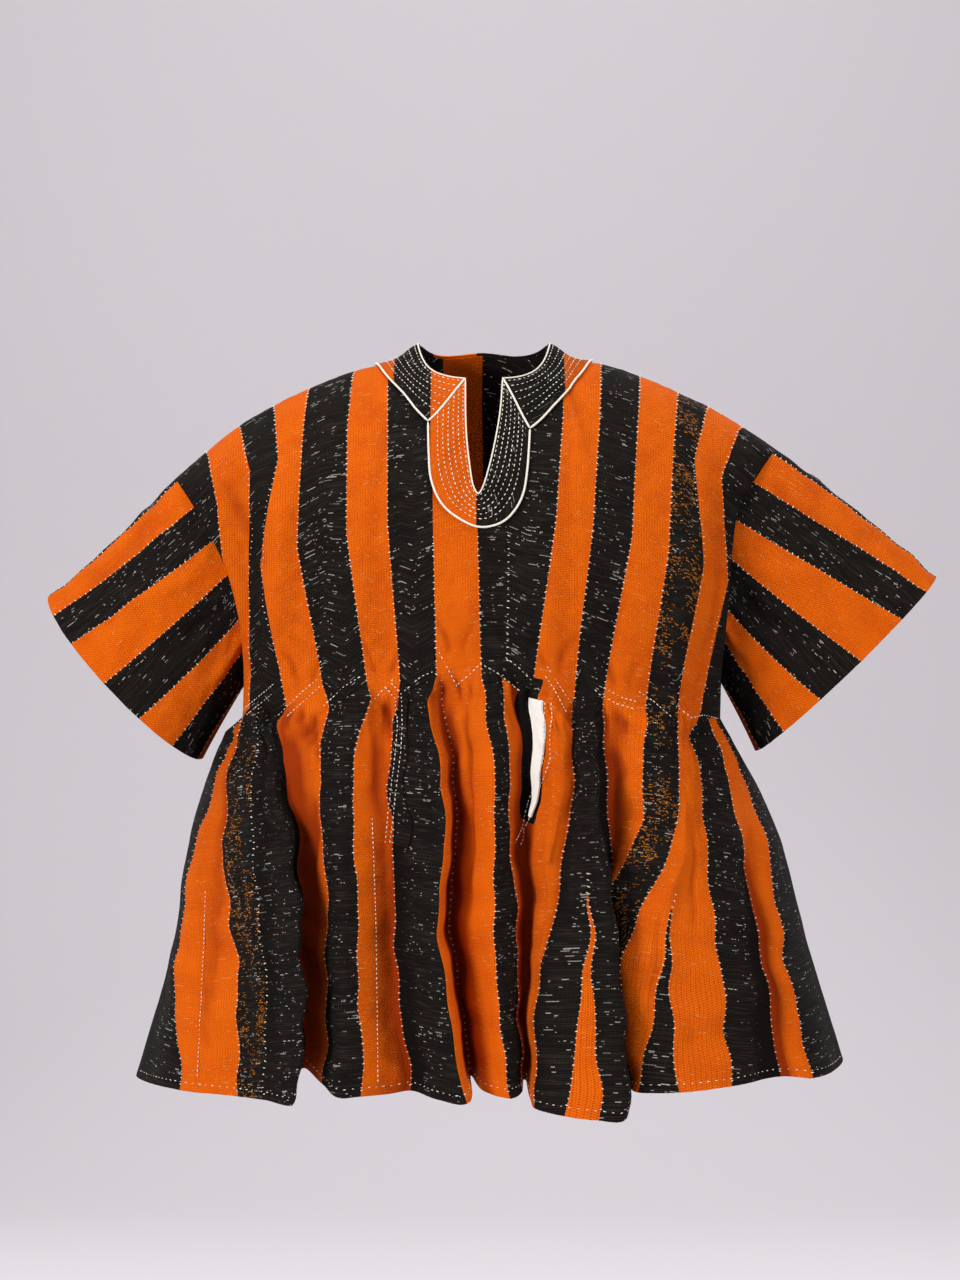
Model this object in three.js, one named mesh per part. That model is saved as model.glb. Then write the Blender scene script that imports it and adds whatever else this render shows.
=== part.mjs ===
// A gathered smock of handwoven strips, worn shape, hollow: a yoke-less bodice of two panels, two
// straight sleeves, a skirt gathered onto the bodice, a neck band, a slit band and two pockets.
// Millimetres, +Z up, the front faces -Y. The origin is the middle of the neck on the shoulder line.
import * as THREE from "three";

// Driving dimensions
const clothThick = 2;
const bandThick = 1.2;
const seamGap = 0.3; // left between pieces that are sewn together
const armholeGap = 0.5; // the sleeve's root bends away from the panels there
const gatherGap = 0.5; // between the bodice's zigzag edge and the skirt's
const mitreGap = 1.2; // measured down the slope between the neck band and the slit band
const bandLift = 0.9; // between a panel and what lies on it
const sideDraw = 3; // how much the bodice's narrowing is kept to its sides
const squareness = 2.4; // exponent of the rounded sections of the body, 2 for an ellipse
const cuffFullness = 0.35; // how much deeper the cuff is in its lower half than in its upper one
const edgeFade = 0.1; // share of the bodice's half width over which its folds die out at the sides
const seamFade = 0.08; // and of its height above the gather seam

// The bodice from the shoulder line (at 0) to the gather seam (at 1): share of the drop, reach of the
// front and the back from the shoulder plane, and where the two armhole edges stand.
const bodiceSections = [
  { at: 0, drop: 0, front: 0, back: 0, armDepth: 0, rightArmX: -320, leftArmX: 304 },
  { at: 0.05, drop: 0.003, front: 20, back: 19, armDepth: 13, rightArmX: -319, leftArmX: 302 },
  { at: 0.1, drop: 0.02, front: 38, back: 36, armDepth: 24, rightArmX: -316, leftArmX: 298 },
  { at: 0.2, drop: 0.1, front: 74, back: 66, armDepth: 40, rightArmX: -302, leftArmX: 282 },
  { at: 0.35, drop: 0.234, front: 104, back: 92, armDepth: 52, rightArmX: -282, leftArmX: 261 },
  { at: 0.5, drop: 0.385, front: 127, back: 112, armDepth: 54, rightArmX: -264, leftArmX: 254 },
  { at: 0.67, drop: 0.593, front: 145, back: 126, armDepth: 46, rightArmX: -251, leftArmX: 250 },
  { at: 0.8, drop: 0.75, front: 153, back: 132, armDepth: 27, rightArmX: -248, leftArmX: 247 },
  { at: 0.9, drop: 0.87, front: 158, back: 136, armDepth: 0, rightArmX: -249, leftArmX: 246 },
  { at: 1, drop: 1, front: 160, back: 138, armDepth: 0, rightArmX: -250, leftArmX: 245 },
];
// Height of the shoulder line, from the right armhole over the neck to the left one
const shoulderLine = [
  { x: -320, z: -118 },
  { x: -290, z: -93 },
  { x: -257, z: -66 },
  { x: -219, z: -44 },
  { x: -178, z: -24 },
  { x: -133, z: -7 },
  { x: -100, z: 0 },
  { x: -50, z: 6 },
  { x: 50, z: 6 },
  { x: 103, z: 2 },
  { x: 122, z: 0 },
  { x: 163, z: -13 },
  { x: 203, z: -30 },
  { x: 238, z: -47 },
  { x: 274, z: -68 },
  { x: 304, z: -88 },
];
// Soft folds that run down the bodice: rise is outwards, a negative one is a hollow
const frontBodiceFolds = [
  { topX: -205, bottomX: -212, from: 0.22, to: 1.15, width: 17, rise: 13 },
  { topX: -262, bottomX: -238, from: 0.2, to: 1, width: 16, rise: -9 },
  { topX: -150, bottomX: -140, from: 0.45, to: 1.2, width: 22, rise: 5 },
  { topX: -84, bottomX: -100, from: 0.6, to: 1.2, width: 14, rise: -5 },
  { topX: -18, bottomX: -16, from: 0.55, to: 1.2, width: 18, rise: 5 },
  { topX: 74, bottomX: 56, from: 0.5, to: 1.2, width: 17, rise: 5 },
  { topX: 150, bottomX: 122, from: 0.45, to: 1.2, width: 18, rise: -6 },
  { topX: 218, bottomX: 196, from: 0.2, to: 1.15, width: 18, rise: 9 },
  { topX: 250, bottomX: 236, from: 0.2, to: 1, width: 14, rise: -6 },
];
const backBodiceFolds = [
  { topX: -214, bottomX: -206, from: 0.2, to: 1.15, width: 18, rise: 11 },
  { topX: -168, bottomX: -150, from: 0.4, to: 1.2, width: 20, rise: -6 },
  { topX: -70, bottomX: -84, from: 0.5, to: 1.2, width: 20, rise: 5 },
  { topX: 20, bottomX: 10, from: 0.55, to: 1.2, width: 22, rise: -5 },
  { topX: 112, bottomX: 96, from: 0.45, to: 1.2, width: 20, rise: 6 },
  { topX: 205, bottomX: 200, from: 0.2, to: 1.15, width: 18, rise: 10 },
];

// Neck opening in plan, and the band's outer edge round it
const neck = { halfWidth: 68, frontReach: 72, backReach: 62 };
const bandEdge = { halfWidth: 112, frontReach: 116, backReach: 100 };
const neckSquareness = 2.8;
// The neck's edge stands up against the neck, except in front, and the back stays high behind it
const neckStand = { rise: 14, width: 17, from: -62, full: -12 };
const nape = { rise: 34, width: 64, startsBy: 0.17 };
const slitHalfWidth = 19;
const mitreX = { right: 56, left: 46 };
// The slit and its band, from the right mitre round the foot of the slit to the left one
const slitRows = [
  { innerX: -18.4, innerZ: -62, outerX: -55, outerZ: -100 },
  { innerX: -17, innerZ: -88, outerX: -53, outerZ: -124 },
  { innerX: -14, innerZ: -114, outerX: -46, outerZ: -144 },
  { innerX: -11, innerZ: -132, outerX: -33, outerZ: -160 },
  { innerX: -6, innerZ: -141, outerX: -8, outerZ: -174 },
  { innerX: -1, innerZ: -134, outerX: 15, outerZ: -171 },
  { innerX: 4, innerZ: -118, outerX: 30, outerZ: -158 },
  { innerX: 9, innerZ: -98, outerX: 39, outerZ: -140 },
  { innerX: 14, innerZ: -72, outerX: 43, outerZ: -116 },
  { innerX: 17, innerZ: -50, outerX: 45, outerZ: -92 },
];

// The hanging skirt behind its folds, from the seam (0) to the hem (1)
const skirtSections = [
  { at: 0, front: 160, back: 138 },
  { at: 0.08, front: 170, back: 150 },
  { at: 0.3, front: 187, back: 172 },
  { at: 0.65, front: 205, back: 196 },
  { at: 1, front: 222, back: 216 },
];
const foldLevels = [0, 0.3, 0.65, 1];
const outLevels = [0.08, 0.5, 1];
// Skirt folds from the wearer's right side to the left one: a row for each strip seam, fold edge or
// fold floor, with its x at the fold levels, how far it stands out at the out levels, and the heights
// of the seam, which zigzags where one fold rides over the next, and of the hem.
const frontFolds = [
  { x: [-250, -300, -323, -361], out: [0, 0, 0], seam: -366, hem: -737 },
  { x: [-246, -286, -307, -303], out: [0, 0, 2], seam: -362, hem: -732 },
  { x: [-242, -264, -247, -240], out: [2, 4, 8], seam: -358, hem: -733 },
  { x: [-226, -229, -216, -210], out: [5, 12, 20], seam: -346, hem: -732 },
  { x: [-212, -194, -175, -180], out: [6, 22, 30], seam: -361, hem: -731 },
  { x: [-202, -186, -178, -173], out: [-8, -16, -18], seam: -354, hem: -708 },
  { x: [-166, -162, -152, -156], out: [2, 2, 0], seam: -334, hem: -718 },
  { x: [-138, -143, -138, -138], out: [8, 14, 20], seam: -346, hem: -726 },
  { x: [-118, -127, -121, -117], out: [2, 10, 16], seam: -328, hem: -726 },
  { x: [-103, -98, -96, -90], out: [-8, -4, 4], seam: -341, hem: -726 },
  { x: [-91, -88, -86, -70], out: [-2, -8, -8], seam: -328, hem: -724 },
  { x: [-71, -62, -62, -42], out: [8, 14, 24], seam: -336, hem: -727 },
  { x: [-54, -40, -42, -18], out: [6, 20, 32], seam: -322, hem: -728 },
  { x: [-42, -29, -32, -12], out: [-10, -16, -14], seam: -318, hem: -712 },
  { x: [-28, -16, -16, 0], out: [2, 0, 4], seam: -312, hem: -722 },
  { x: [-1, 10, 9, 23], out: [6, 12, 16], seam: -306, hem: -726 },
  { x: [20, 24, 30, 36], out: [-4, -4, -2], seam: -306, hem: -724 },
  { x: [37, 42, 46, 48], out: [-12, -20, -20], seam: -322, hem: -716 },
  { x: [71, 66, 58, 57], out: [8, 6, 2], seam: -328, hem: -730 },
  { x: [88, 85, 70, 64], out: [2, 10, 18], seam: -349, hem: -736 },
  { x: [98, 96, 90, 76], out: [4, 22, 38], seam: -330, hem: -740 },
  { x: [107, 105, 110, 112], out: [4, 26, 46], seam: -334, hem: -744 },
  { x: [116, 114, 128, 138], out: [4, 22, 36], seam: -338, hem: -745 },
  { x: [126, 124, 130, 138], out: [-10, -14, -8], seam: -342, hem: -726 },
  { x: [156, 156, 140, 144], out: [6, -4, -18], seam: -353, hem: -722 },
  { x: [190, 190, 152, 152], out: [4, 6, -8], seam: -361, hem: -722 },
  { x: [199, 200, 170, 163], out: [0, 12, 8], seam: -351, hem: -723 },
  { x: [206, 206, 189, 190], out: [-2, 12, 16], seam: -357, hem: -724 },
  { x: [214, 217, 231, 244], out: [-4, 6, 10], seam: -364, hem: -721 },
  { x: [228, 254, 279, 294], out: [4, 4, -6], seam: -366, hem: -719 },
  { x: [237, 280, 300, 324], out: [0, 5, 6], seam: -366, hem: -721 },
  { x: [245, 300, 335, 373], out: [0, 0, 0], seam: -366, hem: -720 },
];
const backFolds = [
  { x: [-250, -300, -323, -361], out: [0, 0, 0], seam: -366, hem: -737 },
  { x: [-243, -274, -288, -312], out: [2, 5, 8], seam: -362, hem: -735 },
  { x: [-228, -244, -256, -276], out: [-5, -8, -9], seam: -354, hem: -731 },
  { x: [-202, -212, -226, -240], out: [7, 19, 27], seam: -363, hem: -738 },
  { x: [-182, -190, -196, -200], out: [-8, -15, -20], seam: -349, hem: -725 },
  { x: [-154, -164, -172, -176], out: [3, 4, 3], seam: -343, hem: -730 },
  { x: [-118, -124, -134, -146], out: [9, 24, 36], seam: -350, hem: -741 },
  { x: [-102, -108, -112, -116], out: [-9, -17, -22], seam: -333, hem: -720 },
  { x: [-82, -80, -80, -82], out: [2, 2, 0], seam: -329, hem: -727 },
  { x: [-54, -50, -44, -40], out: [7, 11, 16], seam: -334, hem: -732 },
  { x: [-30, -26, -22, -16], out: [-9, -14, -15], seam: -325, hem: -722 },
  { x: [-2, 4, 8, 14], out: [5, 7, 8], seam: -321, hem: -728 },
  { x: [30, 38, 44, 56], out: [8, 22, 34], seam: -334, hem: -740 },
  { x: [50, 58, 64, 74], out: [-10, -18, -23], seam: -323, hem: -721 },
  { x: [76, 82, 86, 92], out: [3, 6, 5], seam: -328, hem: -728 },
  { x: [104, 106, 110, 114], out: [6, 10, 14], seam: -340, hem: -731 },
  { x: [126, 130, 136, 140], out: [-7, -10, -12], seam: -335, hem: -724 },
  { x: [152, 162, 174, 186], out: [7, 17, 27], seam: -346, hem: -735 },
  { x: [182, 194, 208, 222], out: [-6, -11, -15], seam: -351, hem: -722 },
  { x: [206, 222, 238, 254], out: [4, 9, 11], seam: -359, hem: -727 },
  { x: [227, 254, 278, 304], out: [-3, -5, -6], seam: -356, hem: -720 },
  { x: [240, 285, 314, 346], out: [2, 4, 6], seam: -364, hem: -722 },
  { x: [245, 300, 335, 373], out: [0, 0, 0], seam: -366, hem: -720 },
];
// Pocket pieces on the front skirt: from and to in fold rows, top and foot as shares of the skirt
const pockets = {
  weltRight: { from: 10.1, to: 10.6, top: 0.03, foot: 0.4, rows: 9, columns: 4 },
  weltLeft: { from: 17.95, to: 18.4, top: 0.05, foot: 0.42, rows: 12, columns: 4 },
  liningLeft: { from: 17.2, to: 17.75, top: 0.05, foot: 0.36, rows: 8, columns: 4 },
};

// Sleeves: the cuff's upper and lower corners, how far the cuff's front edge bows out past the line
// between them, the reach of its front and back, and the sag of the top and the lower fold.
const sleeveRight = {
  armSide: -1,
  top: { x: -451, z: -241 },
  bottom: { x: -292, z: -409 },
  bow: 17,
  front: 46,
  back: 40,
  topSag: { x: -3, z: -7 },
  lowSag: { x: -16, z: 2 },
};
const sleeveLeft = {
  armSide: 1,
  top: { x: 470, z: -220 },
  bottom: { x: 282, z: -401 },
  bow: 5,
  front: 52,
  back: 44,
  topSag: { x: 0, z: 3 },
  lowSag: { x: 14, z: 2 },
};

// Steps of the meshes
const bodiceShares = [0, 0.04, 0.09, 0.15, 0.22, 0.3, 0.4, 0.51, 0.62, 0.73, 0.82, 0.9, 1];
const underarmRow = 11; // the armhole ends there, and the short side seam starts
const widestColumn = 0.08; // of half the bodice's width
const leastColumn = 0.002;
const neckParts = [slitHalfWidth / neck.halfWidth, 0.38, 0.5, 0.62, 0.74, 0.84, 0.92, 0.97, 0.995];
const bandReach = 0.42; // the panel is finer out to there, under the neck band
const foldSteps = 3;
const skirtShares = [0, 0.05, 0.14, 0.28, 0.46, 0.64, 0.82, 1];
const sleeveShares = [0, 0.12, 0.34, 0.56, 0.78, 1];
const gatherLength = 0.06; // share of the skirt over which the folds open below the seam
const solveSteps = 40;
const placeSteps = 5; // rounds of finding a place's height and its share in turn
const shareStep = 0.003; // of the bodice, for its slopes
const sectionStep = 0.5; // of a level section, for its slopes
const pocketStep = 0.02; // of a fold row and of the skirt's height, for its slopes
const rayStart = 12; // above a panel

const orange = 0xd9641a;
const black = 0x1b1a1d;
const white = 0xe8e2d8;

// Eased value of a function known at a few places, whose slope doesn't jump at them
function eased(places, values, place) {
  const last = places.length - 1;
  let i = 0;
  while (i < last - 1 && place > places[i + 1]) i += 1;
  const span = places[i + 1] - places[i];
  const slope = (low) => (values[low + 1] - values[low]) / (places[low + 1] - places[low]);
  const here = slope(i);
  const startSlope = i > 0 ? (here + slope(i - 1)) / 2 : here;
  const endSlope = i < last - 1 ? (here + slope(i + 1)) / 2 : here;
  const t = THREE.MathUtils.clamp((place - places[i]) / span, 0, 1);
  const s = 1 - t;
  return (
    values[i] * s * s * (1 + 2 * t) +
    startSlope * span * s * s * t +
    values[i + 1] * t * t * (3 - 2 * t) -
    endSlope * span * t * t * s
  );
}

const column = (rows, name) => rows.map((row) => row[name]);
const places = column(bodiceSections, "at");
const bodiceValue = (name, v) => eased(places, column(bodiceSections, name), v);

// The place where a steadily growing function reaches a value
function solve(grows, value, low = 0, high = 1) {
  for (let i = 0; i < solveSteps; i += 1) {
    const middle = (low + high) / 2;
    if (grows(middle) < value) low = middle;
    else high = middle;
  }
  return (low + high) / 2;
}

// Share of the full depth at a place across a rounded section, 1 in the middle and 0 at the edge
function roundness(ratio) {
  const r = Math.min(1, Math.abs(ratio));
  return Math.pow(1 - Math.pow(r, squareness), 1 / squareness);
}

// Height of the gather seam: straight between the fold rows
function seamHeight(folds, x) {
  let i = 0;
  while (i < folds.length - 2 && x > folds[i + 1].x[0]) i += 1;
  const a = folds[i];
  const b = folds[i + 1];
  const t = THREE.MathUtils.clamp((x - a.x[0]) / (b.x[0] - a.x[0]), 0, 1);
  return THREE.MathUtils.lerp(a.seam, b.seam, t);
}

const front = { name: "front", sign: -1, bodiceFolds: frontBodiceFolds, folds: frontFolds };
const back = { name: "back", sign: 1, bodiceFolds: backBodiceFolds, folds: backFolds };

// The x of a place of the bodice: the strips hang straight in the middle and draw in at the sides
function bodiceX(u, v) {
  const arm = u < 0 ? "rightArmX" : "leftArmX";
  const topX = bodiceSections[0][arm];
  return topX * Math.abs(u) + (bodiceValue(arm, v) - topX) * Math.abs(u) ** sideDraw;
}

const neckReach = (side) => (side === front ? neck.frontReach : neck.backReach);

// A point of the bodice: u runs from the right armhole (-1) to the left one (1), v down
function bodicePoint(side, u, v) {
  const x = bodiceX(u, v);
  const topX = bodiceX(u, 0);
  const topZ = eased(column(shoulderLine, "x"), column(shoulderLine, "z"), topX);
  let z = THREE.MathUtils.lerp(topZ, seamHeight(side.folds, x), bodiceValue("drop", v));
  const armDepth = Math.max(seamGap / 2, bodiceValue("armDepth", v));
  const reach = Math.max(armDepth, bodiceValue(side.name, v));
  const edgeX = bodiceX(Math.sign(u), v);
  let depth = armDepth + (reach - armDepth) * (u === 0 ? 1 : roundness(x / edgeX));
  for (const fold of side.bodiceFolds) {
    const off = (x - THREE.MathUtils.lerp(fold.topX, fold.bottomX, v)) / fold.width;
    const done = THREE.MathUtils.clamp((v - fold.from) / (fold.to - fold.from), 0, 1);
    const clearOfEdge = Math.min(1, (1 - Math.abs(u)) / edgeFade);
    const clearOfSeam = Math.min(1, (1 - v) / seamFade);
    depth += fold.rise * Math.exp(-off * off) * Math.sin(Math.PI * done) * clearOfEdge * clearOfSeam;
  }
  if (side === back) {
    const begins = THREE.MathUtils.smoothstep(v, 0, nape.startsBy);
    z += nape.rise * Math.exp(-((x / nape.width) ** 2)) * begins * (1 - v) ** 2;
  }
  const y = side.sign * depth;
  const away = Math.hypot(x / neck.halfWidth, y / neckReach(side)) - 1;
  const stands = THREE.MathUtils.smoothstep(y, neckStand.from, neckStand.full);
  z += neckStand.rise * stands * Math.exp(-(((away * neck.halfWidth) / neckStand.width) ** 2));
  return new THREE.Vector3(x, y, z);
}

const shareAt = (x, v) => solve((u) => bodiceX(u, v), x, -1, 1);

// The place (u, v) of the bodice at a given x and a given y or z
function bodicePlace(side, x, axis, value) {
  const grows = axis === "y" ? side.sign : -1;
  let v = 0;
  for (let i = 0; i < placeSteps; i += 1) {
    v = solve((at) => grows * bodicePoint(side, shareAt(x, v), at)[axis], grows * value);
  }
  return { u: shareAt(x, v), v };
}

// Outward normal of the bodice
function bodiceNormal(side, u, v) {
  const midU = THREE.MathUtils.clamp(u, shareStep - 1, 1 - shareStep);
  const midV = THREE.MathUtils.clamp(v, shareStep, 1 - shareStep);
  const across = bodicePoint(side, midU + shareStep, v).sub(bodicePoint(side, midU - shareStep, v));
  const down = bodicePoint(side, u, midV + shareStep).sub(bodicePoint(side, u, midV - shareStep));
  return down.cross(across).multiplyScalar(-side.sign).normalize();
}

function neckRound(ratio) {
  return Math.max(0, 1 - Math.abs(ratio) ** neckSquareness) ** (1 / neckSquareness);
}

// Where a column of the panel starts: on the shoulder line, the neck's edge or the slit's edge
function columnStart(side, u) {
  const past = (v) => {
    const p = bodicePoint(side, u, v);
    const slit = eased(column(slitRows, "innerX"), column(slitRows, "innerZ"), p.x);
    if (side === front && Math.abs(p.x) < slitHalfWidth) return slit - p.z;
    return side.sign * p.y - neckReach(side) * neckRound(p.x / neck.halfWidth);
  };
  return past(0) >= 0 ? 0 : solve(past, 0);
}

// Columns of a bodice panel: the corners of its seam, the neck's edge and the slit's edge
function bodiceColumns(side) {
  const edges = [];
  for (const part of neckParts) {
    for (const x of [-part * neck.halfWidth, part * neck.halfWidth]) {
      const y = side.sign * neckReach(side) * neckRound(part);
      const place = bodicePlace(side, x, "y", y);
      edges.push({ u: place.u, start: place.v });
    }
  }
  for (const row of side === front ? slitRows : []) {
    const place = bodicePlace(side, row.innerX, "z", row.innerZ);
    edges.push({ u: place.u, start: place.v });
  }
  const apart = (u) => edges.every((edge) => Math.abs(edge.u - u) > leastColumn);
  const corners = side.folds.map((fold) => shareAt(fold.x[0], 1)).filter(apart);
  const all = corners.map((u) => ({ u, start: columnStart(side, u) })).concat(edges);
  all.sort((a, b) => a.u - b.u);
  const filled = [all[0]];
  for (let i = 1; i < all.length; i += 1) {
    const widest = Math.abs(all[i].u) < bandReach ? widestColumn / 2 : widestColumn;
    const parts = Math.ceil((all[i].u - all[i - 1].u) / widest);
    for (let j = 1; j < parts; j += 1) {
      const u = THREE.MathUtils.lerp(all[i - 1].u, all[i].u, j / parts);
      filled.push({ u, start: columnStart(side, u) });
    }
    filled.push(all[i]);
  }
  return filled;
}

// Vertex normals of a grid of points, each from the cells that meet there
function gridNormals(grid, sign, closed = false) {
  const rows = grid.length;
  const columns = grid[0].length;
  return grid.map((row, r) =>
    row.map((point, c) => {
      const wrap = (i) => (closed ? (i + columns) % columns : THREE.MathUtils.clamp(i, 0, columns - 1));
      const sum = new THREE.Vector3();
      for (const dr of [-1, 1]) {
        for (const dc of [-1, 1]) {
          const down = grid[THREE.MathUtils.clamp(r + dr, 0, rows - 1)][c].clone().sub(point);
          const across = grid[r][wrap(c + dc)].clone().sub(point);
          sum.add(down.cross(across).multiplyScalar(dr * dc));
        }
      }
      return sum.multiplyScalar(sign).normalize();
    }),
  );
}

// A closed wall between a grid of outer points and the same points moved in along the normals
function clothWall(outer, normals, thickness, closed = false) {
  const rows = outer.length;
  const columns = outer[0].length;
  const positions = [];
  for (const shift of [0, -thickness]) {
    outer.forEach((row, r) =>
      row.forEach((point, c) => {
        positions.push(...point.clone().addScaledVector(normals[r][c], shift).toArray());
      }),
    );
  }
  const at = (layer, r, c) => layer * rows * columns + r * columns + (c % columns);
  const index = [];
  const quad = (a, b, c, d) => index.push(a, b, c, a, c, d);
  const lastColumn = closed ? columns : columns - 1;
  for (let c = 0; c < lastColumn; c += 1) {
    for (let r = 0; r < rows - 1; r += 1) {
      quad(at(0, r, c), at(0, r + 1, c), at(0, r + 1, c + 1), at(0, r, c + 1));
      quad(at(1, r, c), at(1, r, c + 1), at(1, r + 1, c + 1), at(1, r + 1, c));
    }
    quad(at(0, 0, c), at(0, 0, c + 1), at(1, 0, c + 1), at(1, 0, c));
    quad(at(0, rows - 1, c), at(1, rows - 1, c), at(1, rows - 1, c + 1), at(0, rows - 1, c + 1));
  }
  for (let r = 0; r < rows - 1 && !closed; r += 1) {
    quad(at(0, r, 0), at(1, r, 0), at(1, r + 1, 0), at(0, r + 1, 0));
    const end = columns - 1;
    quad(at(0, r, end), at(0, r + 1, end), at(1, r + 1, end), at(1, r, end));
  }
  if (signedVolume(positions, index) < 0) index.reverse();
  const geometry = new THREE.BufferGeometry();
  geometry.setAttribute("position", new THREE.Float32BufferAttribute(positions, 3));
  geometry.setIndex(index);
  return geometry;
}

function signedVolume(positions, index) {
  const corner = (i) => new THREE.Vector3().fromArray(positions, index[i] * 3);
  let six = 0;
  for (let i = 0; i < index.length; i += 3) six += corner(i).dot(corner(i + 1).cross(corner(i + 2)));
  return six / 6;
}

const flattened = (normal, axis) => normal.clone().setComponent(axis, 0).normalize();
const yAxis = 1;

// Outer points and normals of a bodice panel
function bodiceGrid(side) {
  const lines = bodiceColumns(side);
  const outer = bodiceShares.map((share) =>
    lines.map((line) => bodicePoint(side, line.u, THREE.MathUtils.lerp(line.start, 1, share))),
  );
  const normals = gridNormals(outer, -side.sign);
  const last = bodiceShares.length - 1;
  lines.forEach((line, c) => {
    if (line.start === 0) {
      normals[0][c] = flattened(normals[0][c], yAxis);
      outer[0][c].y = (side.sign * seamGap) / 2;
    }
    normals[last][c] = seamNormal(side, outer[last][c].x);
  });
  for (const c of [0, lines.length - 1]) {
    for (let r = underarmRow; r <= last; r += 1) normals[r][c] = flattened(normals[r][c], yAxis);
  }
  return { outer, normals };
}

// Outward normal of the body's section at the gather seam, level
function seamNormal(side, x) {
  const step = sectionStep;
  const halfWidth = x < 0 ? -side.folds[0].x[0] : side.folds[side.folds.length - 1].x[0];
  const reach = bodiceSections[bodiceSections.length - 1][side.name];
  const depth = (place) => reach * roundness(place / halfWidth);
  const middle = THREE.MathUtils.clamp(x, -halfWidth + step, halfWidth - step);
  if (halfWidth - Math.abs(x) < step) return new THREE.Vector3(Math.sign(x), 0, 0);
  const slope = (depth(middle + step) - depth(middle - step)) / (2 * step);
  return new THREE.Vector3(-slope, side.sign, 0).normalize();
}

// A sleeve: a tube from the armhole edges of both panels to the cuff
function sleeveGrid(shape, frontPanel, backPanel) {
  const edge = (panel, r) => {
    const c = shape.armSide < 0 ? 0 : panel.outer[0].length - 1;
    const inner = panel.outer[r][c === 0 ? 1 : c - 1];
    const point = panel.outer[r][c];
    return { point, normal: panel.normals[r][c], away: point.clone().sub(inner) };
  };
  const ring = [];
  for (let r = 0; r <= underarmRow; r += 1) ring.push({ ...edge(frontPanel, r), reach: -shape.front });
  for (let r = underarmRow - 1; r > 0; r -= 1) ring.push({ ...edge(backPanel, r), reach: shape.back });
  const lengths = [0];
  for (let i = 1; i <= underarmRow; i += 1) {
    lengths.push(lengths[i - 1] + ring[i].point.distanceTo(ring[i - 1].point));
  }
  const armLength = lengths[underarmRow];
  const outer = sleeveShares.map(() => []);
  ring.forEach((entry, i) => {
    const row = i <= underarmRow ? i : 2 * underarmRow - i;
    const share = lengths[row] / armLength;
    const angle = Math.PI * share;
    const low = (1 - Math.cos(angle)) / 2;
    const out = Math.sin(angle);
    const fullness = 1 + cuffFullness * (share - 0.5);
    const bow = entry.reach < 0 ? shape.bow : shape.bow / 2;
    const chord = new THREE.Vector2(shape.bottom.x - shape.top.x, shape.bottom.z - shape.top.z);
    const away = new THREE.Vector2(chord.y, -chord.x).normalize().multiplyScalar(-shape.armSide);
    const cuff = new THREE.Vector3(
      shape.top.x + chord.x * low + away.x * bow * out,
      entry.reach * out * fullness,
      shape.top.z + chord.y * low + away.y * bow * out,
    );
    const topSag = (1 - low) ** 4;
    const lowSag = low ** 4;
    sleeveShares.forEach((s, j) => {
      const hang = 4 * s * (1 - s);
      const point = entry.point.clone().lerp(cuff, s);
      point.x += hang * (shape.topSag.x * topSag + shape.lowSag.x * lowSag);
      point.z += hang * (shape.topSag.z * topSag + shape.lowSag.z * lowSag);
      outer[j].push(point);
    });
  });
  const normals = gridNormals(outer, -shape.armSide, true);
  ring.forEach((entry, i) => {
    const next = ring[(i + 1) % ring.length].point;
    const before = ring[(i + ring.length - 1) % ring.length].point;
    const edgeWay = next.clone().sub(before).normalize();
    const away = entry.away.addScaledVector(edgeWay, -entry.away.dot(edgeWay));
    away.addScaledVector(entry.normal, -away.dot(entry.normal)).normalize();
    const own = normals[0][i];
    const bendsOut = own.dot(away) < 0 || i === underarmRow;
    outer[0][i].copy(entry.point).addScaledVector(away, i === underarmRow ? 0 : armholeGap);
    if (bendsOut) outer[0][i].addScaledVector(entry.normal, armholeGap);
    normals[0][i] = bendsOut ? own : entry.normal.clone();
  });
  outer[0][0].y = 0;
  return { outer, normals };
}

// Closed section of the skirt at a level: front fold rows, then the back ones the other way round
function skirtSection(level) {
  const lines = [];
  const opened = THREE.MathUtils.smoothstep(level, 0, gatherLength);
  for (const side of [front, back]) {
    const xs = side.folds.map((fold) => eased(foldLevels, fold.x, level));
    const reach = eased(column(skirtSections, "at"), column(skirtSections, side.name), level);
    const points = side.folds.map((fold, i) => {
      const halfWidth = xs[i] < 0 ? xs[0] : xs[xs.length - 1];
      const isSide = i === 0 || i === xs.length - 1;
      const out = eased(outLevels, fold.out, Math.max(level, outLevels[0])) * opened;
      const depth = isSide ? 0 : reach * roundness(xs[i] / halfWidth) + out;
      return new THREE.Vector3(xs[i], side.sign * depth, 0);
    });
    lines.push(points);
  }
  const [frontLine, backLine] = lines;
  const loop = [...frontLine, ...backLine.slice(1, -1).reverse()];
  return new THREE.CatmullRomCurve3(loop, true, "centripetal");
}
const sections = new Map();
function sectionPoint(level, place) {
  if (!sections.has(level)) sections.set(level, skirtSection(level));
  const curve = sections.get(level);
  const count = curve.points.length;
  return curve.getPoint((((place / count) % 1) + 1) % 1);
}

// A point of the skirt: k counts fold rows from the right side, level runs from seam to hem
function skirtPoint(side, k, level) {
  const place = side === front ? k : -k;
  const top = sectionPoint(0, place);
  const point = sectionPoint(level, place);
  const seam = seamHeight(side.folds, top.x) - gatherGap;
  const hem = eased(side.folds.map((fold, i) => i), column(side.folds, "hem"), k);
  point.z = THREE.MathUtils.lerp(seam, hem, level);
  if (level === 0) {
    const halfWidth = top.x < 0 ? side.folds[0].x[0] : side.folds[side.folds.length - 1].x[0];
    point.y = side.sign * Math.max(seamGap / 2, skirtSections[0][side.name] * roundness(top.x / halfWidth));
  }
  return point;
}

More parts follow.
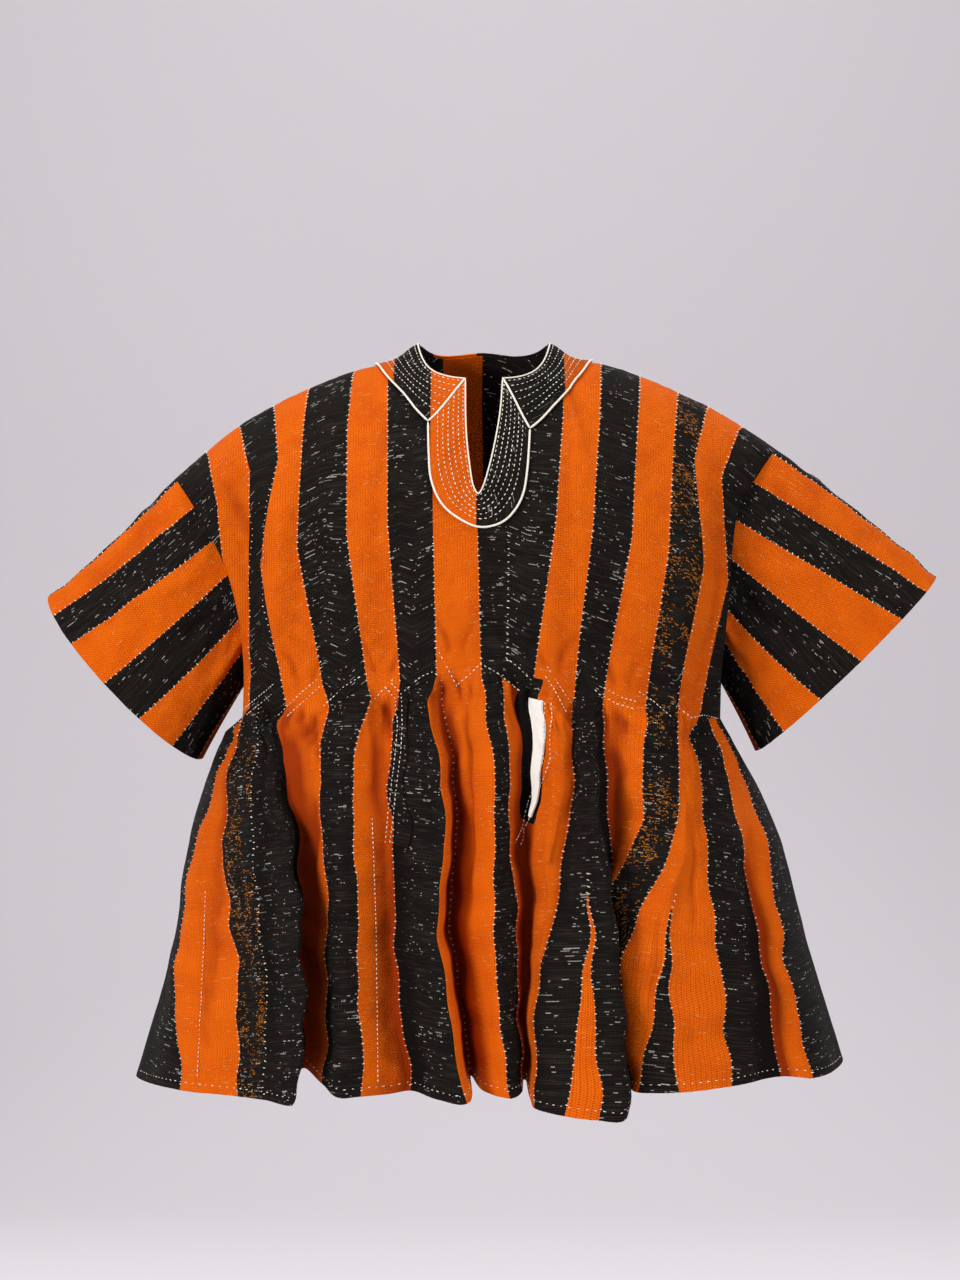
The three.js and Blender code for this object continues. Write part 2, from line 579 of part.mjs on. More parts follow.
function skirtGrid(side) {
  const steps = (side.folds.length - 1) * foldSteps;
  const ks = Array.from({ length: steps + 1 }, (_, i) => i / foldSteps);
  const outer = skirtShares.map((level) => ks.map((k) => skirtPoint(side, k, level)));
  const normals = gridNormals(outer, -side.sign);
  for (const c of [0, steps]) {
    outer.forEach((row, r) => {
      row[c].y = (side.sign * seamGap) / 2;
      normals[r][c] = new THREE.Vector3(c === 0 ? -1 : 1, 0, 0);
    });
  }
  normals[0] = outer[0].map((point) => seamNormal(side, point.x));
  return { outer, normals };
}

// A strip that lies on panels: their points moved out, and past the panels' flat faces where those
// stand out further than the curve between them
function onPanels(grid, panels) {
  const outer = grid.map((row) =>
    row.map((entry) => {
      const start = entry.point.clone().addScaledVector(entry.normal, rayStart);
      const ray = new THREE.Raycaster(start, entry.normal.clone().negate(), 0, rayStart);
      const hits = ray.intersectObjects(panels);
      const face = hits.length ? rayStart - hits[0].distance : 0;
      return entry.point.clone().addScaledVector(entry.normal, face + bandLift + bandThick);
    }),
  );
  return clothWall(outer, grid.map((row) => row.map((entry) => entry.normal)), bandThick);
}

function bodiceEntry(side, place) {
  return {
    point: bodicePoint(side, place.u, place.v),
    normal: bodiceNormal(side, place.u, place.v),
  };
}

// Plan point of the neck band: angle from the front middle, share from the neck's edge to the rim
function neckBandPlan(angle, share) {
  const reach = Math.cos(angle) > 0 ? "frontReach" : "backReach";
  const power = THREE.MathUtils.lerp(neckSquareness, 2, share);
  const sine = Math.sin(angle);
  const cosine = Math.cos(angle);
  const stretch = (Math.abs(sine) ** power + Math.abs(cosine) ** power) ** (-1 / power);
  const a = THREE.MathUtils.lerp(neck.halfWidth, bandEdge.halfWidth, share);
  const b = THREE.MathUtils.lerp(neck[reach], bandEdge[reach], share);
  return { x: -a * sine * stretch, y: -b * cosine * stretch };
}

function mitreAngle(name, share) {
  const inner = Math.atan(slitHalfWidth / neck.halfWidth);
  const outer = Math.asin(mitreX[name] / bandEdge.halfWidth);
  return THREE.MathUtils.lerp(inner, outer, share);
}

const bandShares = [0.02, 0.26, 0.5, 0.75, 1];
const bandSteps = 60;
const mitreSteps = 3; // finer rows of the slit band between those of its table

function neckBandGrid() {
  return Array.from({ length: bandSteps + 1 }, (_, i) =>
    bandShares.map((share) => {
      const from = mitreAngle("right", share);
      const to = 2 * Math.PI - mitreAngle("left", share);
      const plan = neckBandPlan(THREE.MathUtils.lerp(from, to, i / bandSteps), share);
      const side = plan.y < 0 ? front : back;
      return bodiceEntry(side, bodicePlace(side, plan.x, "y", plan.y));
    }),
  );
}

function slitBandGrid() {
  const mitreRow = (name) =>
    bandShares.map((share) => {
      const angle = name === "right" ? mitreAngle(name, share) : -mitreAngle(name, share);
      const plan = neckBandPlan(angle, share);
      const place = bodicePlace(front, plan.x, "y", plan.y);
      const point = bodicePoint(front, place.u, place.v);
      return new THREE.Vector2(point.x, point.z - mitreGap);
    });
  const tableRow = (row) =>
    bandShares.map((share) => {
      const inner = new THREE.Vector2(row.innerX, row.innerZ);
      return inner.lerp(new THREE.Vector2(row.outerX, row.outerZ), share);
    });
  const rows = [mitreRow("right"), ...slitRows.map(tableRow), mitreRow("left")];
  const fine = [];
  rows.forEach((row, i) => {
    const parts = i < rows.length - 1 ? mitreSteps : 1;
    for (let j = 0; j < parts; j += 1) {
      const next = rows[Math.min(i + 1, rows.length - 1)];
      fine.push(row.map((spot, c) => spot.clone().lerp(next[c], j / parts)));
    }
  });
  return fine.map((row) =>
    row.map((spot) => bodiceEntry(front, bodicePlace(front, spot.x, "z", spot.y))),
  );
}

// A pocket piece on the front skirt
function pocketGrid(piece) {
  const grid = [];
  for (let r = 0; r <= piece.rows; r += 1) {
    const level = THREE.MathUtils.lerp(piece.top, piece.foot, r / piece.rows);
    const row = [];
    for (let c = 0; c <= piece.columns; c += 1) {
      const k = THREE.MathUtils.lerp(piece.from, piece.to, c / piece.columns);
      const step = pocketStep;
      const across = skirtPoint(front, k + step, level).sub(skirtPoint(front, k - step, level));
      const down = skirtPoint(front, k, level + step).sub(skirtPoint(front, k, level - step));
      row.push({ point: skirtPoint(front, k, level), normal: down.cross(across).normalize() });
    }
    grid.push(row);
  }
  return grid;
}

const group = new THREE.Group();

function add(name, geometry, color) {
  const material = new THREE.MeshStandardMaterial({ color, roughness: 0.9, metalness: 0 });
  const mesh = new THREE.Mesh(geometry, material);
  mesh.name = name;
  group.add(mesh);
  return mesh;
}

const panelMesh = (name, grid) => add(name, clothWall(grid.outer, grid.normals, clothThick), orange);
const frontPanel = bodiceGrid(front);
const backPanel = bodiceGrid(back);
const bodice = [panelMesh("front_bodice", frontPanel), panelMesh("back_bodice", backPanel)];
for (const [name, shape] of [["sleeve_right", sleeveRight], ["sleeve_left", sleeveLeft]]) {
  const sleeve = sleeveGrid(shape, frontPanel, backPanel);
  add(name, clothWall(sleeve.outer, sleeve.normals, clothThick, true), black);
}
const skirtFront = panelMesh("skirt_front", skirtGrid(front));
panelMesh("skirt_back", skirtGrid(back));
add("neck_band", onPanels(neckBandGrid(), bodice), black);
add("slit_band", onPanels(slitBandGrid(), bodice), orange);
add("pocket_welt_right", onPanels(pocketGrid(pockets.weltRight), [skirtFront]), black);
add("pocket_welt_left", onPanels(pocketGrid(pockets.weltLeft), [skirtFront]), orange);
add("pocket_lining_left", onPanels(pocketGrid(pockets.liningLeft), [skirtFront]), white);

export default group;
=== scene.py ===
import functools
import math
import bpy
import numpy as np
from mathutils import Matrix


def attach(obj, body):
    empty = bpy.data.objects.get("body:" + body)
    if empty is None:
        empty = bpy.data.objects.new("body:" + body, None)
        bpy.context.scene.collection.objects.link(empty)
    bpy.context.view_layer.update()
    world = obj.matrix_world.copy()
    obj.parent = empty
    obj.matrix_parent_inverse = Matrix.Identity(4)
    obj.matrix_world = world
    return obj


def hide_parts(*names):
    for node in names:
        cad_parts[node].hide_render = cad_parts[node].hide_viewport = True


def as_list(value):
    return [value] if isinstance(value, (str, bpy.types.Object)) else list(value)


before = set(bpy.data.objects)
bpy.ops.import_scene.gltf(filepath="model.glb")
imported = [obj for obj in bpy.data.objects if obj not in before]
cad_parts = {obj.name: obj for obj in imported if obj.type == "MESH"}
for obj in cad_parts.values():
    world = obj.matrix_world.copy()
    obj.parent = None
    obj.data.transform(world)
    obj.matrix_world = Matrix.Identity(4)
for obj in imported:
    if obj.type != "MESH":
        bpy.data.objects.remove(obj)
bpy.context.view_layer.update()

# Gathered smock of handwoven strips. Tables are in millimetres, meshes in metres.
mm = 0.001
panelThick = 1.8
print("frame loaded")


# camera, light, backdrop
camera = {
    "place": (-0.004, -3.143, -0.286),
    "lens": 85,
    "sensor": 36,
}
cameraData = bpy.data.cameras.new("camera")
cameraData.lens = camera["lens"]
cameraData.sensor_fit = "VERTICAL"
cameraData.sensor_height = camera["sensor"]
cameraObject = bpy.data.objects.new("camera", cameraData)
cameraObject.location = camera["place"]
cameraObject.rotation_euler = (math.pi / 2, 0, 0)
bpy.context.collection.objects.link(cameraObject)
bpy.context.scene.camera = cameraObject
bpy.context.scene.view_settings.view_transform = "Standard"

studio = {
    "paper": (0.60, 0.57, 0.60),
    "floorZ": -1.45,
    "wallY": 4.6,
    "wallTop": 5.0,
    "curve": 1.6,
    "halfWidth": 14.0,
    "front": -16.0,
    "middle": (0, 0, -0.4),
    "worldColor": (0.80, 0.785, 0.80),
    "worldStrength": 0.33,
    "lights": {
        "key": {"place": (-2.4, -2.4, 0.55), "size": 1.1, "power": 108},
        "fill": {"place": (2.5, -2.2, -0.25), "size": 1.5, "power": 50},
        "top": {"place": (0.2, -0.4, 2.6), "size": 1.4, "power": 38},
        "backRight": {"place": (1.9, 2.3, 1.3), "size": 1.2, "power": 45},
        "backLeft": {"place": (-2.0, 2.2, 0.6), "size": 1.4, "power": 28},
        "wash": {"place": (0.0, 0.9, 3.2), "size": 2.0, "power": 98, "at": (0.0, 4.6, -0.1)},
    },
}


def aim(thing, target):
    way = np.array(target) - np.array(thing.location)
    flat = math.hypot(way[0], way[1])
    thing.rotation_euler = (math.atan2(flat, -way[2]), 0, math.atan2(-way[0], way[1]))


def buildStudio():
    world = bpy.data.worlds.new("studioWorld")
    world.use_nodes = True
    sky = world.node_tree.nodes["Background"]
    sky.inputs["Color"].default_value = (*studio["worldColor"], 1)
    sky.inputs["Strength"].default_value = studio["worldStrength"]
    bpy.context.scene.world = world
    for name, lamp in studio["lights"].items():
        data = bpy.data.lights.new(name, "AREA")
        data.shape = "DISK"
        data.size = lamp["size"]
        data.energy = lamp["power"]
        light = bpy.data.objects.new(name, data)
        light.location = lamp["place"]
        aim(light, lamp.get("at", studio["middle"]))
        bpy.context.collection.objects.link(light)
    # floor, bend and wall in one sheet of paper
    bend = studio["curve"]
    profile = [(studio["front"], studio["floorZ"])]
    for i in range(13):
        turn = math.pi / 2 * i / 12
        y = studio["wallY"] - bend + bend * math.sin(turn)
        profile.append((y, studio["floorZ"] + bend * (1 - math.cos(turn))))
    profile.append((studio["wallY"], studio["wallTop"]))
    corners = [(x, y, z) for y, z in profile for x in (-studio["halfWidth"], studio["halfWidth"])]
    faces = [(2 * i, 2 * i + 1, 2 * i + 3, 2 * i + 2) for i in range(len(profile) - 1)]
    mesh = bpy.data.meshes.new("paper")
    mesh.from_pydata(corners, [], faces)
    mesh.shade_smooth()
    paper = bpy.data.objects.new("paper", mesh)
    bpy.context.collection.objects.link(paper)
    material = bpy.data.materials.new("paperMatte")
    material.use_nodes = True
    shader = material.node_tree.nodes["Principled BSDF"]
    shader.inputs["Base Color"].default_value = (*studio["paper"], 1)
    shader.inputs["Roughness"].default_value = 0.95
    shader.inputs["Specular IOR Level"].default_value = 0.1
    mesh.materials.append(material)


buildStudio()
print("studio built")


# shared maths
def eased(places, values, place):
    places = np.asarray(places, float)
    values = np.asarray(values, float)
    place = np.asarray(place, float)
    last = len(places) - 1
    i = np.clip(np.searchsorted(places, place) - 1, 0, last - 1)
    slopes = np.diff(values) / np.diff(places)
    here = slopes[i]
    startSlope = np.where(i > 0, (here + slopes[np.maximum(i - 1, 0)]) / 2, here)
    endSlope = np.where(i < last - 1, (here + slopes[np.minimum(i + 1, last - 1)]) / 2, here)
    span = places[i + 1] - places[i]
    t = np.clip((place - places[i]) / span, 0, 1)
    s = 1 - t
    return (
        values[i] * s * s * (1 + 2 * t)
        + startSlope * span * s * s * t
        + values[i + 1] * t * t * (3 - 2 * t)
        - endSlope * span * t * t * s
    )


def smoothStep(value, low, high):
    t = np.clip((value - low) / (high - low), 0, 1)
    return t * t * (3 - 2 * t)


def mix(a, b, t):
    return a + (b - a) * t


# where a steadily growing function reaches a value
def solve(grows, value, low, high):
    low = np.full(np.shape(value), float(low))
    high = np.full(np.shape(value), float(high))
    for _ in range(36):
        middle = (low + high) / 2
        under = grows(middle) < value
        low = np.where(under, middle, low)
        high = np.where(under, high, middle)
    return (low + high) / 2


def unit(vectors):
    return vectors / np.maximum(np.linalg.norm(vectors, axis=-1, keepdims=True), 1e-12)


# normals of a grid of points (rows, columns, 3)
def gridNormals(grid, sign, closed=False):
    if closed:
        across = np.roll(grid, -1, 1) - np.roll(grid, 1, 1)
    else:
        across = np.gradient(grid, axis=1)
    down = np.gradient(grid, axis=0)
    return unit(np.cross(down, across)) * sign


def arcs(points, axis):
    steps = np.linalg.norm(np.diff(points, axis=axis), axis=-1)
    start = np.zeros_like(np.take(steps, [0], axis=axis))
    return np.concatenate([start, np.cumsum(steps, axis=axis)], axis=axis)


# soft creases: each is (x, z, toX, toZ, bow, width, rise), a negative rise is a trough
def creases(x, z, table):
    relief = np.zeros_like(x)
    for fromX, fromZ, toX, toZ, bow, width, rise in table:
        length = math.hypot(toX - fromX, toZ - fromZ)
        alongX, alongZ = (toX - fromX) / length, (toZ - fromZ) / length
        t = ((x - fromX) * alongX + (z - fromZ) * alongZ) / length
        inside = np.clip(t, 0, 1)
        ends = np.sin(np.pi * inside)
        off = (x - fromX) * -alongZ + (z - fromZ) * alongX - bow * ends
        relief += rise * np.exp(-((off / width) ** 2)) * ends**0.8 * (t > 0) * (t < 1)
    return relief


# gentle unevenness of hand-spun cloth, the same on every run
def uneven(a, b, scale, seed, waves=14):
    chance = np.random.default_rng(seed)
    total = np.zeros_like(a)
    for _ in range(waves):
        turn = chance.uniform(0, math.pi)
        pitch = scale * chance.uniform(0.5, 1.8)
        total += np.sin(
            (a * math.cos(turn) + b * math.sin(turn)) * 2 * math.pi / pitch + chance.uniform(0, 6.28)
        )
    return total / math.sqrt(waves)


# shader maths
# a socket that can be used in expressions
class Wire:
    def __init__(self, tree, socket):
        self.tree = tree
        self.socket = socket

    def maths(self, operation, *values):
        node = self.tree.nodes.new("ShaderNodeMath")
        node.operation = operation
        for slot, value in zip(node.inputs, values):
            plug(self.tree, slot, value)
        return Wire(self.tree, node.outputs[0])

    def __add__(self, other):
        return self.maths("ADD", self, other)

    def __radd__(self, other):
        return self.maths("ADD", other, self)

    def __sub__(self, other):
        return self.maths("SUBTRACT", self, other)

    def __rsub__(self, other):
        return self.maths("SUBTRACT", other, self)

    def __mul__(self, other):
        return self.maths("MULTIPLY", self, other)

    def __rmul__(self, other):
        return self.maths("MULTIPLY", other, self)

    def __truediv__(self, other):
        return self.maths("DIVIDE", self, other)

    def __gt__(self, other):
        return self.maths("GREATER_THAN", self, other)

    def __lt__(self, other):
        return self.maths("LESS_THAN", self, other)

    def floor(self):
        return self.maths("FLOOR", self)

    def fraction(self):
        return self.maths("FRACT", self)

    def sine(self):
        return self.maths("SINE", self)

    def size(self):
        return self.maths("ABSOLUTE", self)

    def atMost(self, other):
        return self.maths("MINIMUM", self, other)

    def atLeast(self, other):
        return self.maths("MAXIMUM", self, other)


def plug(tree, slot, value):
    if isinstance(value, Wire):
        tree.links.new(value.socket, slot)
    else:
        slot.default_value = value


class Finish:
    def __init__(self, name, roughness=0.9, sheen=0.0):
        self.material = bpy.data.materials.new(name)
        self.material.use_nodes = True
        self.tree = self.material.node_tree
        self.shader = self.tree.nodes["Principled BSDF"]
        self.shader.inputs["Roughness"].default_value = roughness
        self.shader.inputs["Specular IOR Level"].default_value = 0.09
        self.shader.inputs["Sheen Weight"].default_value = sheen
        self.shader.inputs["Sheen Roughness"].default_value = 0.5

    # any other node: its settings first, then the values or links of its sockets
    def node(self, kind, settings=None, inputs=None, output=0):
        node = self.tree.nodes.new("ShaderNode" + kind)
        for key, value in (settings or {}).items():
            if key == "stops":
                ramp = node.color_ramp
                while len(ramp.elements) < len(value):
                    ramp.elements.new(0.5)
                for element, (place, color) in zip(ramp.elements, value):
                    element.position = place
                    element.color = (*color, 1)
            elif key == "interpolation" and kind == "ValToRGB":
                node.color_ramp.interpolation = value
            else:
                setattr(node, key, value)
        for key, value in (inputs or {}).items():
            plug(self.tree, node.inputs[key], value)
        return Wire(self.tree, node.outputs[output])

    def mixColors(self, share, first, second):
        node = self.tree.nodes.new("ShaderNodeMix")
        node.data_type = "RGBA"
        plug(self.tree, node.inputs[0], share)
        for slot, color in ((6, first), (7, second)):
            plug(self.tree, node.inputs[slot], color if isinstance(color, Wire) else (*color, 1))
        return Wire(self.tree, node.outputs[2])

    def wear(self, color, height, distance, strength):
        plug(self.tree, self.shader.inputs["Base Color"], color)
        bump = self.node("Bump", None, {"Height": height, "Distance": distance, "Strength": strength})
        plug(self.tree, self.shader.inputs["Normal"], bump)


# strips by letter: orange share, white slubs, orange flecks
stripTones = {"o": (1, 0.25, 0), "k": (0, 1, 0), "f": (0, 0.5, 1)}
cloth = {
    "orange": (0.67, 0.116, 0.0010),
    "orangeDeep": (0.46, 0.046, 0.0006),
    "orangePale": (0.86, 0.40, 0.10),
    # the deep red-orange that painted shade in the hollows of the folds darkens the orange to
    "orangePaintedShade": (0.28, 0.026, 0.0004),
    "black": (0.0040, 0.0028, 0.0022),
    "blackThread": (0.026, 0.021, 0.017),
    "slub": (0.42, 0.40, 0.36),
    "fleck": (0.50, 0.15, 0.006),
    "warp": 0.0027,
    "weft": 0.0023,
    "slubRow": 0.0012,
    "slubLength": 0.0115,
}


# handwoven strip cloth; the strips are the letters of a word, one for each interval
def stripCloth(name, word):
    finish = Finish(name, roughness=0.92, sheen=0.0)
    node = finish.node
    spot = node("UVMap", {"uv_map": "cloth"})
    parts = finish.tree.nodes.new("ShaderNodeSeparateXYZ")
    plug(finish.tree, parts.inputs[0], spot)
    across, down = (Wire(finish.tree, parts.outputs[i]) for i in (0, 1))
    strip = node("Attribute", {"attribute_name": "strip"}, output=2)
    gore = node("Attribute", {"attribute_name": "gore"}, output=2)
    # painted shade: darkening in the hollows of the folds, kept per point by each piece
    hollow = node("Attribute", {"attribute_name": "hollow"}, output=2)
    count = len(word)
    stops = [(i / count, stripTones[letter]) for i, letter in enumerate(word)]
    merged = [stop for i, stop in enumerate(stops) if i == 0 or stop[1] != stops[i - 1][1]]
    if len(merged) == 1:
        merged = merged + [(1.0, merged[0][1])]
    tone = node(
        "ValToRGB", {"interpolation": "CONSTANT", "stops": merged}, {0: (strip.floor() + 0.5) / count}
    )
    split = finish.tree.nodes.new("ShaderNodeSeparateColor")
    plug(finish.tree, split.inputs[0], tone)
    plain, fleckShare = (Wire(finish.tree, split.outputs[i]) for i in (0, 2))
    # a gore swaps the strip's colour; inside the pocket mouth the orange turns black, painted shade of the
    # opening
    orange = (plain - (gore > 0)).size()

    # warp and weft
    warps = across / cloth["warp"]
    wefts = down / cloth["weft"]
    weave = (warps * 6.2832).sine() * (wefts * 6.2832).sine()
    dots = ((weave - 0.22) * 1.9).atLeast(0.0)
    ribs = (wefts * 6.2832).sine()
    lines = (ribs * (0.4 - (wefts * 0.37).sine() * 0.6)).atLeast(0.0)

    # cloudy dyeing, long and short
    def noise(x, y, z, detail=2.0):
        place = node("CombineXYZ", None, {0: across * x, 1: down * y, 2: z})
        return node("TexNoise", None, {"Vector": place, "Scale": 1.0, "Detail": detail})

    clouds = noise(26, 14, 0.3)
    streaks = noise(40, 900, 1.7)
    warpStreaks = noise(900, 18, 4.1)

    # short pale slubs of the weft: one dice throw for each stretch of each row
    def dashes(length, seed, density, patch):
        row = (down / cloth["slubRow"]).floor()
        jitter = node("TexWhiteNoise", {"noise_dimensions": "2D"}, {
            "Vector": node("CombineXYZ", None, {0: row, 1: seed, 2: 0.0})
        })
        along = across / length + jitter * 37.0
        dice = node("TexWhiteNoise", {"noise_dimensions": "3D"}, {
            "Vector": node("CombineXYZ", None, {0: along.floor(), 1: row, 2: seed})
        })
        place = (along.fraction() - 0.5).size()
        thread = (down / cloth["slubRow"]).fraction()
        shape = ((0.5 - dice.maths("FRACT", dice * 71.0) * 0.34) > place) * (thread < 0.72)
        return (dice > (1.0 - density * patch)) * shape * (0.3 + 0.7 * dice.maths("FRACT", dice * 913.0))

    bunches = noise(150, 60, 6.6)
    patch = ((clouds - 0.40) * 2.2 + (bunches - 0.44) * 3.4).atLeast(0.04).atMost(2.0)
    longSlubs = dashes(cloth["slubLength"], 3.0, 0.062, patch)
    shortSlubs = dashes(cloth["slubLength"] * 0.3, 9.0, 0.055, patch)
    slubs = longSlubs.atLeast(shortSlubs)
    fleckPatch = ((noise(60, 26, 8.2) - 0.42) * 5.0).atLeast(0.05).atMost(2.2)
    flecks = dashes(cloth["slubLength"] * 0.3, 21.0, 0.34, fleckPatch)

    deep = (clouds - 0.5) * 1.2 + (streaks - 0.5) * 0.8 + (warpStreaks - 0.5) * 0.5
    deep = deep + dots * 1.5 + lines * 0.5 + 0.02
    orangeTone = finish.mixColors(deep.atLeast(0.0).atMost(1.0), cloth["orange"], cloth["orangeDeep"])
    orangeTone = finish.mixColors((slubs * 0.42).atMost(1.0), orangeTone, cloth["orangePale"])
    # painted shade: the hollows of the folds darken to deep red-orange and to plain black
    orangeTone = finish.mixColors(hollow, orangeTone, cloth["orangePaintedShade"])
    threads = ((streaks - 0.52) * 5.0).atLeast(0.0).atMost(1.0) * 0.8 + dots * 0.35 + lines * 0.25
    blackTone = finish.mixColors(threads.atMost(1.0), cloth["black"], cloth["blackThread"])
    blackTone = finish.mixColors((slubs * 0.95).atMost(1.0), blackTone, cloth["slub"])
    blackTone = finish.mixColors((flecks * fleckShare).atMost(1.0), blackTone, cloth["fleck"])
    blackTone = finish.mixColors(hollow, blackTone, cloth["black"])
    color = finish.mixColors(orange, blackTone, orangeTone)
    height = weave * 0.8 + ribs * 0.3 + streaks * 0.7 + slubs * 0.8
    finish.wear(color=color, height=height, distance=0.00042, strength=1.0)
    return finish.material


# plain cotton for the pocket lining
def plainCotton(name, color):
    finish = Finish(name, roughness=0.9, sheen=0.08)
    spot = finish.node("UVMap", {"uv_map": "cloth"})
    parts = finish.tree.nodes.new("ShaderNodeSeparateXYZ")
    plug(finish.tree, parts.inputs[0], spot)
    across, down = (Wire(finish.tree, parts.outputs[i]) for i in (0, 1))
    weave = (across * 5200).sine() * (down * 5200).sine()
    clouds = finish.node("TexNoise", None, {"Vector": spot, "Scale": 90.0, "Detail": 3.0})
    shade = ((clouds - 0.35) * 0.5 + weave * 0.06).atLeast(0.0).atMost(1.0)
    finish.wear(
        color=finish.mixColors(shade, color, tuple(c * 0.72 for c in color)),
        height=weave, distance=0.00012, strength=0.7,
    )
    return finish.material


# sewing thread and couched cord, with a noise on the coordinates of the object
def thread(name, color):
    finish = Finish(name, roughness=0.7, sheen=0.1)
    spot = finish.node("TexCoord", None, None, output=3)
    strands = finish.node("TexNoise", None, {"Vector": spot, "Scale": 1400.0, "Detail": 2.0})
    shade = ((strands - 0.3) * 0.9).atLeast(0.0).atMost(1.0)
    finish.wear(
        color=finish.mixColors(shade, color, tuple(c * 0.62 for c in color)),
        height=strands, distance=0.0002, strength=0.5,
    )
    return finish.material


whiteThread = thread("whiteThread", (0.76, 0.71, 0.61))
print("finishes built")


# the body of the smock
# rows run from the shoulder line (at 0) down to the gather seam (at 1)
bodice = {
    "at": [0, 0.05, 0.1, 0.2, 0.35, 0.5, 0.67, 0.8, 0.9, 1],
    "drop": [0, 0.003, 0.02, 0.1, 0.234, 0.385, 0.593, 0.75, 0.87, 1],
    "front": [0, 20, 38, 74, 104, 127, 145, 153, 158, 160],
    "back": [0, 19, 36, 66, 92, 112, 126, 132, 136, 138],
    "armDepth": [0, 13, 24, 40, 52, 54, 46, 27, 0, 0],
    "rightArmX": [-320, -319, -316, -302, -282, -264, -251, -248, -249, -250],
    "leftArmX": [304, 302, 298, 282, 261, 254, 250, 247, 246, 245],
    "sideDraw": 3,
    "squareness": 2.4,
    "underarm": 0.9,
    "rows": 96,
    "step": 4.0,
}
shoulder = {
    "x": [-320, -290, -257, -219, -178, -133, -100, -50, 50, 103, 122, 163, 203, 238, 274, 304],
    "z": [-118, -93, -66, -44, -24, -7, 0, 6, 6, 2, 0, -13, -30, -47, -68, -88],
}
# soft folds down the bodice: top x, bottom x, from, to, width, rise
bodiceFolds = {
    "front": [
        (-205, -212, 0.22, 1.15, 17, 13),
        (-262, -238, 0.2, 1, 16, -9),
        (-150, -140, 0.45, 1.2, 22, 5),
        (-84, -100, 0.6, 1.2, 14, -5),
        (-18, -16, 0.55, 1.2, 18, 5),
        (74, 56, 0.5, 1.2, 17, 5),
        (150, 122, 0.45, 1.2, 18, -6),
        (218, 196, 0.2, 1.15, 18, 9),
        (250, 236, 0.2, 1, 14, -6),
    ],
    "back": [
        (-214, -206, 0.2, 1.15, 18, 11),
        (-168, -150, 0.4, 1.2, 20, -6),
        (-70, -84, 0.5, 1.2, 20, 5),
        (20, 10, 0.55, 1.2, 22, -5),
        (112, 96, 0.45, 1.2, 20, 6),
        (205, 200, 0.2, 1.15, 18, 10),
    ],
}
neck = {
    "halfWidth": 68,
    "front": 72,
    "back": 62,
    "rimHalfWidth": 112,
    "rimFront": 116,
    "rimBack": 100,
    "squareness": 2.8,
    "stand": (14, 17, -62, -12),  # rise, width, starts at y, full at y
    "nape": (34, 64, 0.17),  # rise, width, full by
    "slitHalfWidth": 19,
    "mitreX": {"right": 56, "left": 46},
}
# inner x, inner z, outer x, outer z, round the foot of the slit
slitRows = np.array([
    (-18.4, -62, -55, -100),
    (-17, -88, -53, -124),
    (-14, -114, -46, -144),
    (-11, -132, -33, -160),
    (-6, -141, -8, -174),
    (-1, -134, 15, -171),
    (4, -118, 30, -158),
    (9, -98, 39, -140),
    (14, -72, 43, -116),
    (17, -50, 45, -92),
], float)
skirt = {
    "at": [0, 0.08, 0.3, 0.65, 1],
    "front": [160, 170, 187, 205, 222],
    "back": [138, 150, 172, 196, 216],
    "foldLevels": [0, 0.3, 0.65, 1],
    "outLevels": [0.08, 0.5, 1],
    "opens": 0.06,
    "wander": {  # fold row: sideways shifts at levels
        0: [(0, 0), (0.04, -11), (0.1, -10), (0.2, -5), (0.35, 0)],
        4: [(0, 0), (0.06, -6), (0.15, -9), (0.27, -3), (0.3, 0)],
        5: [(0, 0), (0.06, -6), (0.15, -9), (0.27, -3), (0.3, 0), (1, -4)],
        6: [(0, 0), (0.05, 5), (0.14, -3), (0.3, 0)],
        8: [(0, 0), (0.04, 4), (0.12, -5), (0.3, 0)],
        10: [(0, 0), (0.03, -3), (0.1, -7), (0.3, -6), (0.45, 0)],
        12: [(0, 0), (0.06, -12), (0.14, -7), (0.24, 0)],
        13: [(0, 0), (0.06, -5), (0.14, 0)],
        28: [(0, 0), (0.05, -9), (0.14, -3), (0.3, 0)],
        17: [(0.3, 0), (0.65, -6), (1, -9)],
        18: [(0.3, 0), (0.65, -9), (1, -14)],
        19: [(0.3, 0), (0.5, -8), (0.65, -16), (1, -18)],
        24: [(0.3, 0), (0.4, -12), (0.47, -20), (0.65, -9), (1, -5)],
        25: [(0.3, 0), (0.48, -8), (0.57, -11), (0.65, -17), (1, -11)],
        26: [(0.65, 0), (1, -15)],
    },
    "deepen": {  # fold row: further out or in, at the hem
        1: 3, 2: -6, 4: 14, 5: -20, 6: -8, 7: 6, 9: -9, 10: -6, 12: 10, 13: -22, 14: -4, 15: 4,
        16: -8, 17: -14, 18: 3, 20: 5, 22: 7, 23: -20, 24: -8, 26: 4, 28: 3, 29: -6, 30: 4,
    },
    "ripple": (2.2, 0.10, 12),  # height at the seam, share over which it dies out, pitch
    "rows": 84,
    "stepsPerFold": 9,
}
